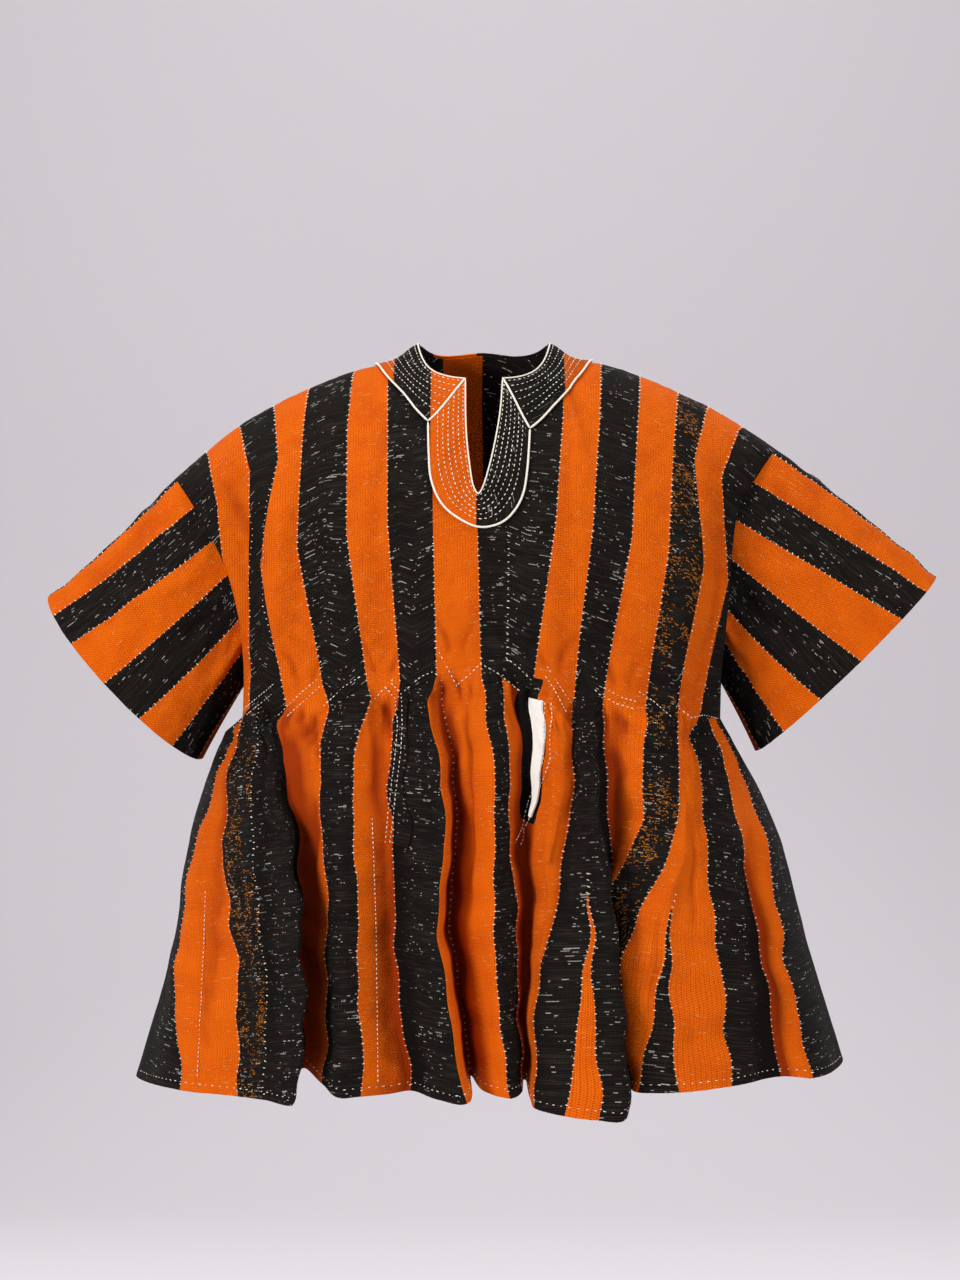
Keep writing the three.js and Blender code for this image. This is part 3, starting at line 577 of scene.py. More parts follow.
# x at the fold levels, how far out at the out levels, seam height, hem height
frontFolds = np.array([
    (-250, -300, -323, -361, 0, 0, 0, -366, -737),
    (-246, -286, -307, -303, 0, 0, 2, -362, -732),
    (-242, -264, -247, -240, 2, 4, 8, -358, -733),
    (-226, -229, -216, -210, 5, 12, 20, -346, -732),
    (-212, -194, -175, -180, 6, 22, 30, -361, -731),
    (-199, -186, -178, -173, -2, -9, -18, -354, -708),
    (-159, -160, -152, -156, 2, 2, 0, -334, -718),
    (-138, -143, -138, -138, 8, 14, 20, -346, -726),
    (-116, -127, -121, -117, 2, 10, 16, -328, -726),
    (-103, -98, -96, -90, -8, -4, 4, -341, -726),
    (-83, -87, -86, -70, -2, -8, -8, -328, -724),
    (-71, -62, -62, -42, 8, 14, 24, -336, -727),
    (-47, -40, -42, -18, 6, 20, 32, -322, -728),
    (-42, -29, -32, -12, -10, -16, -14, -318, -712),
    (-28, -16, -16, 0, 2, 0, 4, -312, -722),
    (-3, 10, 9, 23, 6, 12, 16, -306, -726),
    (20, 24, 30, 36, -4, -4, -2, -306, -724),
    (44, 42, 46, 48, -12, -20, -20, -322, -716),
    (71, 66, 58, 57, 8, 6, 2, -328, -730),
    (88, 85, 70, 64, 2, 10, 18, -349, -736),
    (95, 96, 90, 76, 4, 22, 38, -330, -740),
    (102, 105, 110, 112, 4, 26, 46, -334, -744),
    (109, 114, 128, 138, 4, 22, 36, -338, -745),
    (118, 124, 130, 138, -10, -14, -8, -342, -726),
    (161, 156, 140, 144, 6, -4, -18, -353, -722),
    (194, 190, 152, 152, 4, 6, -8, -361, -722),
    (201, 200, 170, 163, 0, 12, 8, -351, -723),
    (209, 206, 189, 190, -2, 12, 16, -357, -724),
    (217, 219, 231, 244, -4, 6, 10, -364, -721),
    (228, 254, 279, 294, 4, 4, -6, -366, -719),
    (237, 280, 300, 324, 0, 5, 6, -366, -721),
    (245, 300, 335, 373, 0, 0, 0, -366, -720),
], float)
backFolds = np.array([
    (-250, -300, -323, -361, 0, 0, 0, -366, -737),
    (-243, -274, -288, -312, 2, 5, 8, -362, -735),
    (-228, -244, -256, -276, -5, -8, -9, -354, -731),
    (-202, -212, -226, -240, 7, 19, 27, -363, -738),
    (-182, -190, -196, -200, -8, -15, -20, -349, -725),
    (-154, -164, -172, -176, 3, 4, 3, -343, -730),
    (-118, -124, -134, -146, 9, 24, 36, -350, -741),
    (-102, -108, -112, -116, -9, -17, -22, -333, -720),
    (-82, -80, -80, -82, 2, 2, 0, -329, -727),
    (-54, -50, -44, -40, 7, 11, 16, -334, -732),
    (-30, -26, -22, -16, -9, -14, -15, -325, -722),
    (-2, 4, 8, 14, 5, 7, 8, -321, -728),
    (30, 38, 44, 56, 8, 22, 34, -334, -740),
    (50, 58, 64, 74, -10, -18, -23, -323, -721),
    (76, 82, 86, 92, 3, 6, 5, -328, -728),
    (104, 106, 110, 114, 6, 10, 14, -340, -731),
    (126, 130, 136, 140, -7, -10, -12, -335, -724),
    (152, 162, 174, 186, 7, 17, 27, -346, -735),
    (182, 194, 208, 222, -6, -11, -15, -351, -722),
    (206, 222, 238, 254, 4, 9, 11, -359, -727),
    (227, 254, 278, 304, -3, -5, -6, -356, -720),
    (240, 285, 314, 346, 2, 4, 6, -364, -722),
    (245, 300, 335, 373, 0, 0, 0, -366, -720),
], float)
sides = {
    "front": {"name": "front", "sign": -1, "folds": frontFolds},
    "back": {"name": "back", "sign": 1, "folds": backFolds},
}


def bodiceValue(name, v):
    return eased(bodice["at"], bodice[name], v)


def roundness(ratio):
    power = bodice["squareness"]
    return (1 - np.minimum(1, np.abs(ratio)) ** power) ** (1 / power)


def seamHeight(side, x):
    return np.interp(x, side["folds"][:, 0], side["folds"][:, 7])


def armX(u, v):
    return np.where(u < 0, bodiceValue("rightArmX", v), bodiceValue("leftArmX", v))


def bodiceX(u, v):
    topX = np.where(u < 0, bodice["rightArmX"][0], bodice["leftArmX"][0])
    return topX * np.abs(u) + (armX(u, v) - topX) * np.abs(u) ** bodice["sideDraw"]


# u at a given x: Newton's steps on the steadily growing bodiceX
def shareAt(x, v):
    x = np.asarray(x, float)
    way = np.where(x < 0, -1.0, 1.0)
    topX = np.where(x < 0, bodice["rightArmX"][0], bodice["leftArmX"][0]) * way
    draw = armX(way, v) * way - topX
    power = bodice["sideDraw"]
    share = np.clip(np.abs(x) / (topX + draw), 0, 1)
    for _ in range(8):
        miss = topX * share + draw * share**power - np.abs(x)
        share = np.clip(share - miss / (topX + power * draw * share ** (power - 1)), 0, 1)
    return share * way


def bodicePoint(side, u, v):
    u, v = np.broadcast_arrays(np.asarray(u, float), np.asarray(v, float))
    x = bodiceX(u, v)
    topZ = eased(shoulder["x"], shoulder["z"], bodiceX(u, 0 * v))
    z = mix(topZ, seamHeight(side, x), bodiceValue("drop", v))
    armDepth = bodiceValue("armDepth", v)
    reach = np.maximum(armDepth, bodiceValue(side["name"], v))
    depth = armDepth + (reach - armDepth) * roundness(x / armX(u, v))
    for topX, bottomX, start, end, width, rise in bodiceFolds[side["name"]]:
        off = (x - mix(topX, bottomX, v)) / width
        done = np.clip((v - start) / (end - start), 0, 1)
        clear = np.minimum(1, (1 - np.abs(u)) * 10) * np.minimum(1, (1 - v) * 12)
        depth = depth + rise * np.exp(-off * off) * np.sin(math.pi * done) * clear
    if side["name"] == "back":
        rise, width, fullBy = neck["nape"]
        z = z + rise * np.exp(-((x / width) ** 2)) * smoothStep(v, 0, fullBy) * (1 - v) ** 2
    y = side["sign"] * depth
    rise, width, startY, fullY = neck["stand"]
    away = np.hypot(x / neck["halfWidth"], y / neck[side["name"]]) - 1
    stands = smoothStep(y, startY, fullY)
    z = z + rise * stands * np.exp(-((away * neck["halfWidth"] / width) ** 2))
    return np.stack([x, y, z], -1)


# the place (u, v) at a given x and a given y or z
def bodicePlace(side, x, axis, value):
    grows = side["sign"] if axis == 1 else -1
    x, value = np.asarray(x, float), np.asarray(value, float)
    v = solve(lambda at: grows * bodicePoint(side, shareAt(x, at), at)[..., axis], grows * value, 0, 1)
    return shareAt(x, v), v


def bodiceNormal(side, u, v):
    step = 0.003
    midU, midV = np.clip(u, -1 + step, 1 - step), np.clip(v, step, 1 - step)
    across = bodicePoint(side, midU + step, v) - bodicePoint(side, midU - step, v)
    down = bodicePoint(side, u, midV + step) - bodicePoint(side, u, midV - step)
    return unit(np.cross(down, across)) * -side["sign"]


def neckRound(ratio):
    power = neck["squareness"]
    return np.maximum(0, 1 - np.abs(ratio) ** power) ** (1 / power)


# the panel's upper edge as places (u, v): shoulder, neck edge, slit in front, neck edge, shoulder
def topEdge(side):
    half = neck["halfWidth"]
    reach = neck[side["name"]]
    inner = neck["slitHalfWidth"] if side["name"] == "front" else 0
    stop = math.acos(inner / half)
    right = [math.pi - a for a in np.linspace(0.02, stop, 40)]
    cornerX = [-half * abs(math.cos(a)) for a in right]
    cornerY = [side["sign"] * reach * neckRound(x / half) for x in cornerX]
    uNeck, vNeck = bodicePlace(side, np.array(cornerX), 1, np.array(cornerY))
    rightNeck = np.stack([uNeck, vNeck], -1)
    uNeck, vNeck = bodicePlace(side, -np.array(cornerX), 1, np.array(cornerY))
    leftNeck = np.stack([uNeck, vNeck], -1)[::-1]
    parts = [np.stack([np.linspace(-1, float(shareAt(-half, 0)), 60), np.zeros(60)], -1), rightNeck]
    if side["name"] == "front":
        u, v = bodicePlace(side, slitRows[:, 0], 2, slitRows[:, 1])
        fine = np.linspace(0, len(u) - 1, 60)
        spots = np.arange(len(u))
        parts.append(np.stack([eased(spots, u, fine), eased(spots, v, fine)], -1))
    parts += [leftNeck, np.stack([np.linspace(float(shareAt(half, 0)), 1, 60), np.zeros(60)], -1)]
    return np.concatenate(parts)


def resample(points, along, count):
    at = np.linspace(0, along[-1], count)
    return np.stack([np.interp(at, along, points[:, i]) for i in range(points.shape[1])], -1)


# columns fan out from the upper edge to the gather seam
def bodiceGrid(side):
    edge = topEdge(side)
    along = arcs(bodicePoint(side, edge[:, 0], edge[:, 1]), 0)
    columns = int(along[-1] / bodice["step"])
    top = resample(edge, along, columns)
    seam = np.linspace(-1, 1, 801)
    seamArc = arcs(bodicePoint(side, seam, 1 + 0 * seam), 0)
    bottom = np.interp(np.linspace(0, seamArc[-1], columns), seamArc, seam)
    share = np.linspace(0, 1, bodice["rows"])[:, None]
    u = mix(top[None, :, 0], bottom[None, :], share)
    v = mix(top[None, :, 1], 1.0, share)
    return u, v


def catmull(points, place):
    count = len(points)
    place = np.mod(place, count)
    i = np.floor(place).astype(int)
    t = (place - i)[:, None]
    p0, p1, p2, p3 = (points[(i + shift) % count] for shift in (-1, 0, 1, 2))

    def gap(a, b):
        return np.maximum(np.linalg.norm(a - b, axis=-1, keepdims=True), 1e-8) ** 0.5

    d0, d1, d2 = gap(p0, p1), gap(p1, p2), gap(p2, p3)
    m1 = ((p1 - p0) / d0 - (p2 - p0) / (d0 + d1) + (p2 - p1) / d1) * d1
    m2 = ((p2 - p1) / d1 - (p3 - p1) / (d1 + d2) + (p3 - p2) / d2) * d1
    return p1 + m1 * t + (3 * (p2 - p1) - 2 * m1 - m2) * t**2 + (2 * (p1 - p2) + m1 + m2) * t**3


@functools.lru_cache(maxsize=None)
def skirtSection(level):
    opened = smoothStep(level, 0, skirt["opens"])
    lines = []
    for side in sides.values():
        folds = side["folds"]
        xs = np.array([eased(skirt["foldLevels"], row[:4], level) for row in folds])
        outs = np.array([
            eased(skirt["outLevels"], row[4:7], max(level, skirt["outLevels"][0])) for row in folds
        ])
        if side["name"] == "front":
            for row, shifts in skirt["wander"].items():
                xs[row] += np.interp(level, *zip(*shifts))
            for row, further in skirt["deepen"].items():
                outs[row] += further * smoothStep(level, 0.02, 0.6)
        reach = eased(skirt["at"], skirt[side["name"]], level)
        depth = reach * roundness(xs / np.where(xs < 0, -xs[0], xs[-1])) + outs * opened
        depth[[0, -1]] = 0
        lines.append(np.stack([xs, side["sign"] * depth], -1))
    return np.concatenate([lines[0], lines[1][-2:0:-1]])


# wedges let in below: middle in fold rows, half width, level of the tip
gores = {"front": [(20.5, 0.5, 0.42), (26.5, 0.5, 0.47)], "back": [(7.5, 0.5, 0.5), (15.5, 0.5, 0.46)]}
# the open mouth of the pocket, painted black as its shade: middle in fold rows, half width, level of its
# foot, how steeply it ends
pocketMouthShade = [(17.1, 0.42, 0.36, 3), (16.5, 0.5, 0.045, 30)]


def goreAndMouthShade(side, ks, levels):
    inside = np.full(np.broadcast_shapes(np.shape(ks), np.shape(levels)), -1.0)
    for middle, half, tip in gores[side["name"]]:
        inside = np.maximum(inside, half * (levels - tip) / (1 - tip) - np.abs(ks - middle))
    # the pocket mouth is painted black as shade, by the same swap of colour as a gore
    if side["name"] == "front":
        for middle, half, foot, steepness in pocketMouthShade:
            mouth = np.minimum(half - np.abs(ks - middle), (foot - levels) * steepness)
            inside = np.maximum(inside, mouth)
    return inside


# k counts fold rows from the wearer's right, level runs from the seam (0) to the hem (1)
def skirtPoints(side, ks, levels):
    ks, levels = np.asarray(ks, float), np.asarray(levels, float)
    place = ks if side["name"] == "front" else -ks
    folds = side["folds"]
    top = catmull(skirtSection(0.0), place)
    hem = eased(np.arange(len(folds)), folds[:, 8], ks)
    seam = seamHeight(side, top[:, 0])
    rows = []
    for level in levels:
        flat = catmull(skirtSection(round(float(level), 6)), place)
        rows.append(np.column_stack([flat, mix(seam, hem, level)]))
    return np.array(rows)


# cloth meshes
# a closed thin wall round a grid of outer points; values are kept per point for the materials
def clothPiece(name, outer, normals, thickness, uv, values):
    rows, columns = outer.shape[:2]
    thickness = np.broadcast_to(np.asarray(thickness, float), (rows, 1) if np.ndim(thickness) else (1, 1))
    inner = outer - normals * np.broadcast_to(thickness, (rows, columns))[..., None]
    points = np.concatenate([outer.reshape(-1, 3), inner.reshape(-1, 3)]) * mm
    index = np.arange(rows * columns).reshape(rows, columns)
    a, b, c, d = index[:-1, :-1], index[1:, :-1], index[1:, 1:], index[:-1, 1:]
    quads = [np.stack([a, b, c, d], -1).reshape(-1, 4)]
    under = rows * columns
    quads.append(np.stack([a, d, c, b], -1).reshape(-1, 4) + under)
    edge = np.concatenate([index[0, :-1], index[:-1, -1], index[-1, :0:-1], index[:0:-1, 0]])
    after = np.roll(edge, -1)
    quads.append(np.stack([edge, after, after + under, edge + under], -1))
    quads = np.concatenate(quads)
    corner = points[quads]
    volume = np.einsum("ij,ij->i", corner[:, 0], np.cross(corner[:, 1], corner[:, 2])).sum()
    volume += np.einsum("ij,ij->i", corner[:, 0], np.cross(corner[:, 2], corner[:, 3])).sum()
    if volume < 0:
        quads = quads[:, ::-1]
    mesh = bpy.data.meshes.new(name)
    mesh.from_pydata(points.tolist(), [], quads.tolist())
    mesh.shade_smooth()
    mesh.set_sharp_from_angle(angle=math.radians(60))
    for key, grid in values.items():
        layer = mesh.attributes.new(key, "FLOAT", "POINT")
        layer.data.foreach_set("value", np.tile(np.asarray(grid, np.float32).reshape(-1), 2))
    layer = mesh.uv_layers.new(name="cloth")
    spots = np.tile((uv * mm).reshape(-1, 2), (2, 1))[quads.reshape(-1)]
    layer.data.foreach_set("uv", spots.astype(np.float32).reshape(-1))
    piece = bpy.data.objects.new(name, mesh)
    bpy.context.collection.objects.link(piece)
    return piece


# cloth places in millimetres: arc lengths round one row and down each column
def clothUv(points, row):
    across = arcs(points, 1)[row]
    down = arcs(points, 0)
    return np.stack([np.broadcast_to(across, down.shape), down], -1)


def placeStrips(value, edges):
    return np.interp(value, edges, np.arange(len(edges)))


def noGore(strip):
    return np.full(strip.shape, -1.0)


# how far a surface dips behind its neighbours in the same row, 0 to 1, used as painted shade in the hollows
# of the folds
def hollowShade(points, sign, reach, depth):
    out = sign * points[..., 1]
    padded = np.pad(out, ((0, 0), (reach, reach)), mode="edge")
    around = sum(padded[:, i : i + out.shape[1]] for i in range(2 * reach + 1)) / (2 * reach + 1)
    return np.clip((around - out) / depth, 0, 1)


pieces = {}
laid = {"front": [], "back": []}


# strip seams of the bodice: x at the shoulder, at .3, at .6 and at the seam
bodiceStrips = {
    "levels": [0, 0.3, 0.6, 1],
    "front": np.array([
        (-420, -420, -420, -420),
        (-290, -271, -262, -248),
        (-257, -237, -238, -239),
        (-219, -208, -226, -198),
        (-179, -184, -187, -160),
        (-132, -138, -137, -116),
        (-99, -97, -96, -83),
        (-55, -52, -51, -47),
        (-7, -7, -7, -3),
        (27, 26, 25, 23),
        (82, 80, 72, 49),
        (122, 117, 109, 89),
        (163, 155, 148, 118),
        (203, 192, 185, 161),
        (237, 213, 221, 194),
        (273, 241, 248, 217),
        (420, 420, 420, 420),
    ], float),
    "back": np.array([
        (-420, -420, -420, -420),
        (-281, -250, -236, -228),
        (-244, -216, -204, -196),
        (-204, -182, -170, -164),
        (-164, -148, -138, -132),
        (-124, -114, -106, -100),
        (-84, -80, -74, -68),
        (-43, -44, -40, -34),
        (0, -2, 0, 0),
        (42, 38, 38, 34),
        (84, 76, 74, 68),
        (124, 112, 106, 100),
        (164, 148, 138, 132),
        (200, 180, 170, 164),
        (238, 212, 202, 196),
        (272, 244, 234, 226),
        (420, 420, 420, 420),
    ], float),
}
# creases: x, z, to x, to z, bow, width, rise
bodiceCreases = {
    "front": [
        (-268, -120, -214, -250, 6, 9, -5.5),
        (-250, -90, -196, -200, 4, 10, 3.5),
        (-236, -230, -208, -330, -3, 7, -4.5),
        (-222, -200, -226, -320, 4, 8, 3.5),
        (-292, -165, -246, -230, 5, 7, -3.0),
        (-160, -150, -176, -330, 5, 12, -2.6),
        (-120, -220, -130, -318, -3, 9, 2.0),
        (-60, -240, -52, -312, 2, 8, -1.8),
        (-24, -210, -16, -300, 3, 10, 2.0),
        (20, -240, 14, -302, -2, 7, -1.8),
        (58, -230, 40, -312, 3, 9, -2.4),
        (104, -180, 80, -330, 4, 12, 2.4),
        (140, -230, 120, -335, -3, 8, -2.4),
        (208, -90, 200, -220, 6, 10, -4.5),
        (226, -150, 196, -290, -5, 9, 3.5),
        (246, -190, 216, -330, 4, 7, -4.0),
        (268, -120, 232, -200, 4, 8, -3.5),
        (176, -260, 158, -350, 3, 8, -2.6),
        (-238, -318, -206, -330, 1, 4, -1.8),
        (-170, -322, -120, -316, 2, 4, 1.4),
        (70, -322, 112, -338, -2, 4, 1.4),
    ],
    "back": [
        (-262, -130, -210, -270, 6, 10, -5.0),
        (-232, -170, -206, -320, -4, 9, 3.5),
        (-120, -180, -128, -330, 5, 12, -2.4),
        (-40, -210, -46, -312, -3, 10, 2.2),
        (48, -200, 40, -312, 3, 10, -2.4),
        (128, -190, 110, -330, 5, 12, 2.2),
        (248, -140, 206, -270, -6, 10, -5.0),
        (222, -180, 200, -330, 4, 9, 3.0),
        (-200, -60, -120, -40, 8, 12, -2.0),
        (120, -42, 205, -70, -8, 12, -2.0),
    ],
}
skirtCreases = {
    "front": [
        (-177, -341, -164, -418, 1, 3.5, -5.5),
        (-164, -418, -173, -540, 2, 4, -4.5),
        (-150, -330, -180, -388, 1, 3.5, -4.0),
        (-226, -332, -222, -560, 3, 6, -4.0),
        (-212, -420, -200, -700, -4, 7, -3.5),
        (-110, -350, -104, -470, 1, 4, -2.2),
        (-96, -480, -90, -700, 3, 6, -2.5),
        (-62, -350, -56, -520, 2, 5, -3.0),
        (-60, -520, -36, -700, -3, 6, 3.0),
        (-19, -330, -17, -560, 2, 4, -7.0),
        (-10, -560, 2, -710, 2, 7, -2.0),
        (62, -420, 52, -560, 2, 5, -4.0),
        (78, -360, 74, -470, -2, 6, 3.0),
        (112, -370, 118, -520, 3, 6, -4.0),
        (134, -350, 124, -480, 3, 4, -4.0),
        (150, -360, 136, -440, 2, 4, -2.5),
        (200, -418, 209, -600, 2, 3, -3.0),
        (178, -520, 150, -690, 4, 6, -3.5),
        (236, -420, 262, -745, 4, 10, 5.0),
        (262, -400, 300, -745, -4, 9, -5.0),
        (306, -480, 344, -745, 3, 9, 3.8),
        (-258, -400, -282, -750, -5, 10, -6.0),
        (-290, -450, -330, -760, 4, 10, 4.5),
        (-310, -520, -352, -750, 3, 7, -3.0),
        (-232, -380, -214, -745, -4, 8, 4.0),
    ],
    "back": [
        (-232, -340, -246, -560, 3, 6, -4.0),
        (-160, -350, -168, -600, -3, 6, -3.5),
        (-92, -340, -96, -520, 2, 5, -3.5),
        (-40, -330, -34, -560, 3, 6, 3.0),
        (10, -330, 16, -600, -3, 5, -4.0),
        (66, -330, 76, -540, 3, 5, -3.5),
        (116, -340, 124, -620, -4, 7, 3.0),
        (168, -350, 196, -600, 3, 6, -4.0),
        (226, -380, 262, -660, -4, 8, 2.6),
    ],
}


# pleats held by the gather seam: x and z of each
pleats = {
    "front": [(-222, -350), (-180, -342), (-100, -332), (-28, -308), (34, -318), (68, -326), (138, -344),
              (206, -356)],
    "back": [(-202, -356), (-118, -346), (-54, -334), (30, -330), (104, -338), (182, -350)],
}
for name, places in pleats.items():
    for x, z in places:
        bodiceCreases[name] += [
            (x - 25, z + 50, x - 5, z + 4, 3, 4.5, -3.2), (x + 22, z + 44, x + 5, z + 4, -3, 4.5, -3.2)
        ]
        skirtCreases[name] += [
            (x - 6, z - 1, x + 5, z - 58, 2, 3, -4.2), (x + 12, z - 2, x + 16, z - 40, -1, 2.5, -2.8)
        ]


def bandClear(points):
    x, y, z = np.moveaxis(points, -1, 0)
    reach = np.where(y < 0, neck["rimFront"], neck["rimBack"])
    ring = (np.hypot(x / neck["rimHalfWidth"], y / reach) - 1) * neck["rimHalfWidth"]
    slit = np.maximum(np.abs(x + 6) - 52, -176 - z)
    away = np.where(y < 0, np.minimum(ring, slit), ring)
    return smoothStep(away, 4, 26)


def bodiceSurface(side, u, v):
    base = bodicePoint(side, u, v)
    normals = bodiceNormal(side, u, v)
    clear = bandClear(base) * np.clip((1 - np.abs(u)) * 14, 0, 1) * np.clip((1 - v) * 24, 0, 1)
    clear = clear * np.clip(v * 16, 0, 1)
    x, z = base[..., 0], base[..., 2]
    relief = creases(x, z, bodiceCreases[side["name"]])
    relief = relief + 0.5 * uneven(x, z, 34, 5) + 0.22 * uneven(x, z, 12, 6)
    return base + normals * (relief * clear)[..., None]


def buildBodice(side):
    name = side["name"] + "Bodice"
    u, v = bodiceGrid(side)
    points = bodiceSurface(side, u, v)
    normals = gridNormals(points, -side["sign"])
    table = bodiceStrips[side["name"]]
    edges = np.array([np.interp(v, bodiceStrips["levels"], row) for row in table])
    x = points[..., 0]
    strip = np.zeros_like(x)
    for i in range(len(table) - 1):
        part = np.clip((x - edges[i]) / (edges[i + 1] - edges[i]), 0, 1)
        strip = np.where((x >= edges[i]) & (x <= edges[i + 1]), i + part, strip)
    lengthwise = np.linspace(0, 1, 200)
    drop = arcs(bodicePoint(side, 0.5 + 0 * lengthwise, lengthwise), 0)
    uv = np.stack([x, np.interp(v, lengthwise, drop)], -1)
    # painted shade in the hollows of the bodice's folds
    hollow = 0.6 * hollowShade(points, side["sign"], 4, 2.2)
    values = {"strip": strip, "gore": noGore(strip), "hollow": hollow}
    piece = clothPiece(name, points, normals, panelThick, uv, values)
    pieces[name] = piece
    laid[side["name"]].append((points, normals))
    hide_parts(side["name"] + "_bodice")


# a skirt's points with its waviness, ripples under the gathers and creases
def skirtSurface(side, ks, levels):
    points = skirtPoints(side, ks, levels)
    normals = gridNormals(points, -side["sign"])
    level = np.asarray(levels, float)[:, None] + 0 * points[..., 0]
    x, z = points[..., 0], points[..., 2]
    clear = smoothStep(level, 0, 0.05)
    height, dying, pitch = skirt["ripple"]
    phase = 2 * math.pi * x / pitch + 2.2 * uneven(x, z, 60, 11)
    relief = height * np.exp(-level / dying) * np.sin(phase)
    relief = relief + creases(x, z, skirtCreases[side["name"]])
    relief = relief + 0.9 * uneven(x, z, 52, 8) + 0.35 * uneven(x, z, 17, 9)
    atSide = np.minimum(1, np.minimum(ks, len(side["folds"]) - 1 - ks))[None]
    moved = points + normals * (relief * clear * atSide)[..., None]
    moved[..., 0] += 2.3 * uneven(x * 0.35 + 400, z, 66, 12) * clear * atSide
    return moved


def buildSkirt(side):
    name = "skirt" + side["name"].capitalize()
    folds = side["folds"]
    ks = np.linspace(0, len(folds) - 1, (len(folds) - 1) * skirt["stepsPerFold"] + 1)
    levels = np.linspace(0, 1, skirt["rows"]) ** 1.15
    points = skirtSurface(side, ks, levels)
    points[:, [0, -1], 1] = 0
    normals = gridNormals(points, -side["sign"])
    normals[:, 0], normals[:, -1] = (-1, 0, 0), (1, 0, 0)
    tuck = points[0] - normals[0] * 3.0 + np.array([0, 0, 7.0])
    points = np.concatenate([tuck[None], points])
    normals = np.concatenate([normals[:1], normals])
    strip = np.broadcast_to(ks, points.shape[:2])
    gore = goreAndMouthShade(side, ks[None], np.concatenate([[0], levels])[:, None])
    uv = clothUv(points, len(points) // 2)
    uv[..., 1] = -points[..., 2] + 0.06 * points[..., 0] * np.sin(points[..., 0] / 60)
    # painted shade in the hollows of the skirt's folds, wide and narrow
    hollow = np.clip(
        0.95 * hollowShade(points, side["sign"], 11, 9) + 0.5 * hollowShade(points, side["sign"], 3, 2.0), 0, 0.95
    )
    values = {"strip": strip, "gore": gore, "hollow": hollow}
    piece = clothPiece(name, points, normals, panelThick, uv, values)
    pieces[name] = piece
    laid[side["name"]].append((points, normals))
    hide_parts("skirt_" + side["name"])


# sleeves
sleeves = {
    "Right": {
        "arm": -1,
        "top": (-451, -241),
        "bottom": (-292, -409),
        "bow": 17,
        "front": 46,
        "back": 40,
        "topSag": (-3, -7),
        "lowSag": (-2, -2),
    },
    "Left": {
        "arm": 1,
        "top": (470, -220),
        "bottom": (282, -401),
        "bow": 5,
        "front": 52,
        "back": 44,
        "topSag": (0, 3),
        "lowSag": (2, -2),
    },
}
sleeveMesh = {"rows": 64, "half": 90, "cuffFullness": 0.35}
# shares of each half from the top fold, at the root and at the cuff
sleeveStrips = {
    "frontRoot": [0, 0.088, 0.234, 0.385, 0.523, 0.70, 0.82, 1, 1.12],
    "frontCuff": [0, 0.034, 0.185, 0.32, 0.478, 0.62, 0.767, 0.92, 1.12],
    "backRoot": [0, 0.05, 0.19, 0.33, 0.47, 0.62, 0.77, 0.91, 1.06],
    "backCuff": [0, 0.06, 0.2, 0.34, 0.48, 0.63, 0.78, 0.92, 1.06],
}
# along the arm, round it, to along, to round, bow, width, rise
sleeveCreases = {
    "Right": [
        (20, 120, 150, 60, 8, 9, 3.0),
        (10, 170, 120, 150, -6, 9, -4.0),
        (0, 210, 90, 200, 5, 8, 3.0),
        (30, 30, 190, 40, 6, 12, -2.0),
        (0, -150, 120, -120, 8, 11, -3.5),
        (20, -60, 170, -50, 6, 12, 2.4),
    ],
    "Left": [
        (10, 150, 130, 90, 8, 10, 3.0),
        (0, 190, 110, 170, -6, 9, -4.5),
        (10, 60, 180, 50, 5, 12, -2.4),
        (0, 225, 80, 215, 4, 8, 3.0),
        (0, -150, 120, -120, -8, 11, -3.5),
        (20, -70, 170, -60, 6, 12, 2.4),
    ],
}


def sleevePoints(shape):
    arm = shape["arm"]
    v = np.linspace(0, bodice["underarm"], sleeveMesh["half"])
    halves = []
    for side in sides.values():
        edge = bodicePoint(side, arm, v)
        inside = bodicePoint(side, arm * 0.985, v) - bodiceNormal(side, arm * 0.985 + 0 * v, v) * 1.6
        halves.append((edge, inside))
    along = arcs(halves[0][0], 0)
    share = along / along[-1]
    topX, topZ = shape["top"]
    chord = np.array([shape["bottom"][0] - topX, shape["bottom"][1] - topZ], float)
    away = np.array([chord[1], -chord[0]]) / np.hypot(*chord) * -arm
    low = (1 - np.cos(math.pi * share)) / 2
    out = np.sin(math.pi * share)
    fullness = 1 + sleeveMesh["cuffFullness"] * (share - 0.5)
    grids = []
    for (edge, inside), reach, bow in zip(
        halves, (-shape["front"], shape["back"]), (shape["bow"], shape["bow"] / 2)
    ):
        cuff = np.stack([
            topX + chord[0] * low + away[0] * bow * out,
            reach * out * fullness,
            topZ + chord[1] * low + away[1] * bow * out,
        ], -1)
        s = np.linspace(0, 1, sleeveMesh["rows"])[:, None, None]
        points = mix(edge[None], cuff[None], s)
        hang = (4 * s * (1 - s))[..., 0]
        topSag, lowSag = (1 - low) ** 4, low**4
        points[..., 0] += hang * (shape["topSag"][0] * topSag + shape["lowSag"][0] * lowSag)
        points[..., 2] += hang * (shape["topSag"][1] * topSag + shape["lowSag"][1] * lowSag)
        grids.append(np.concatenate([inside[None], points]))
    frontHalf, backHalf = grids
    ring = np.concatenate([frontHalf[:, ::-1], backHalf[:, 1:]], 1)
    shares = np.concatenate([share[::-1], share[1:]])
    return ring, shares


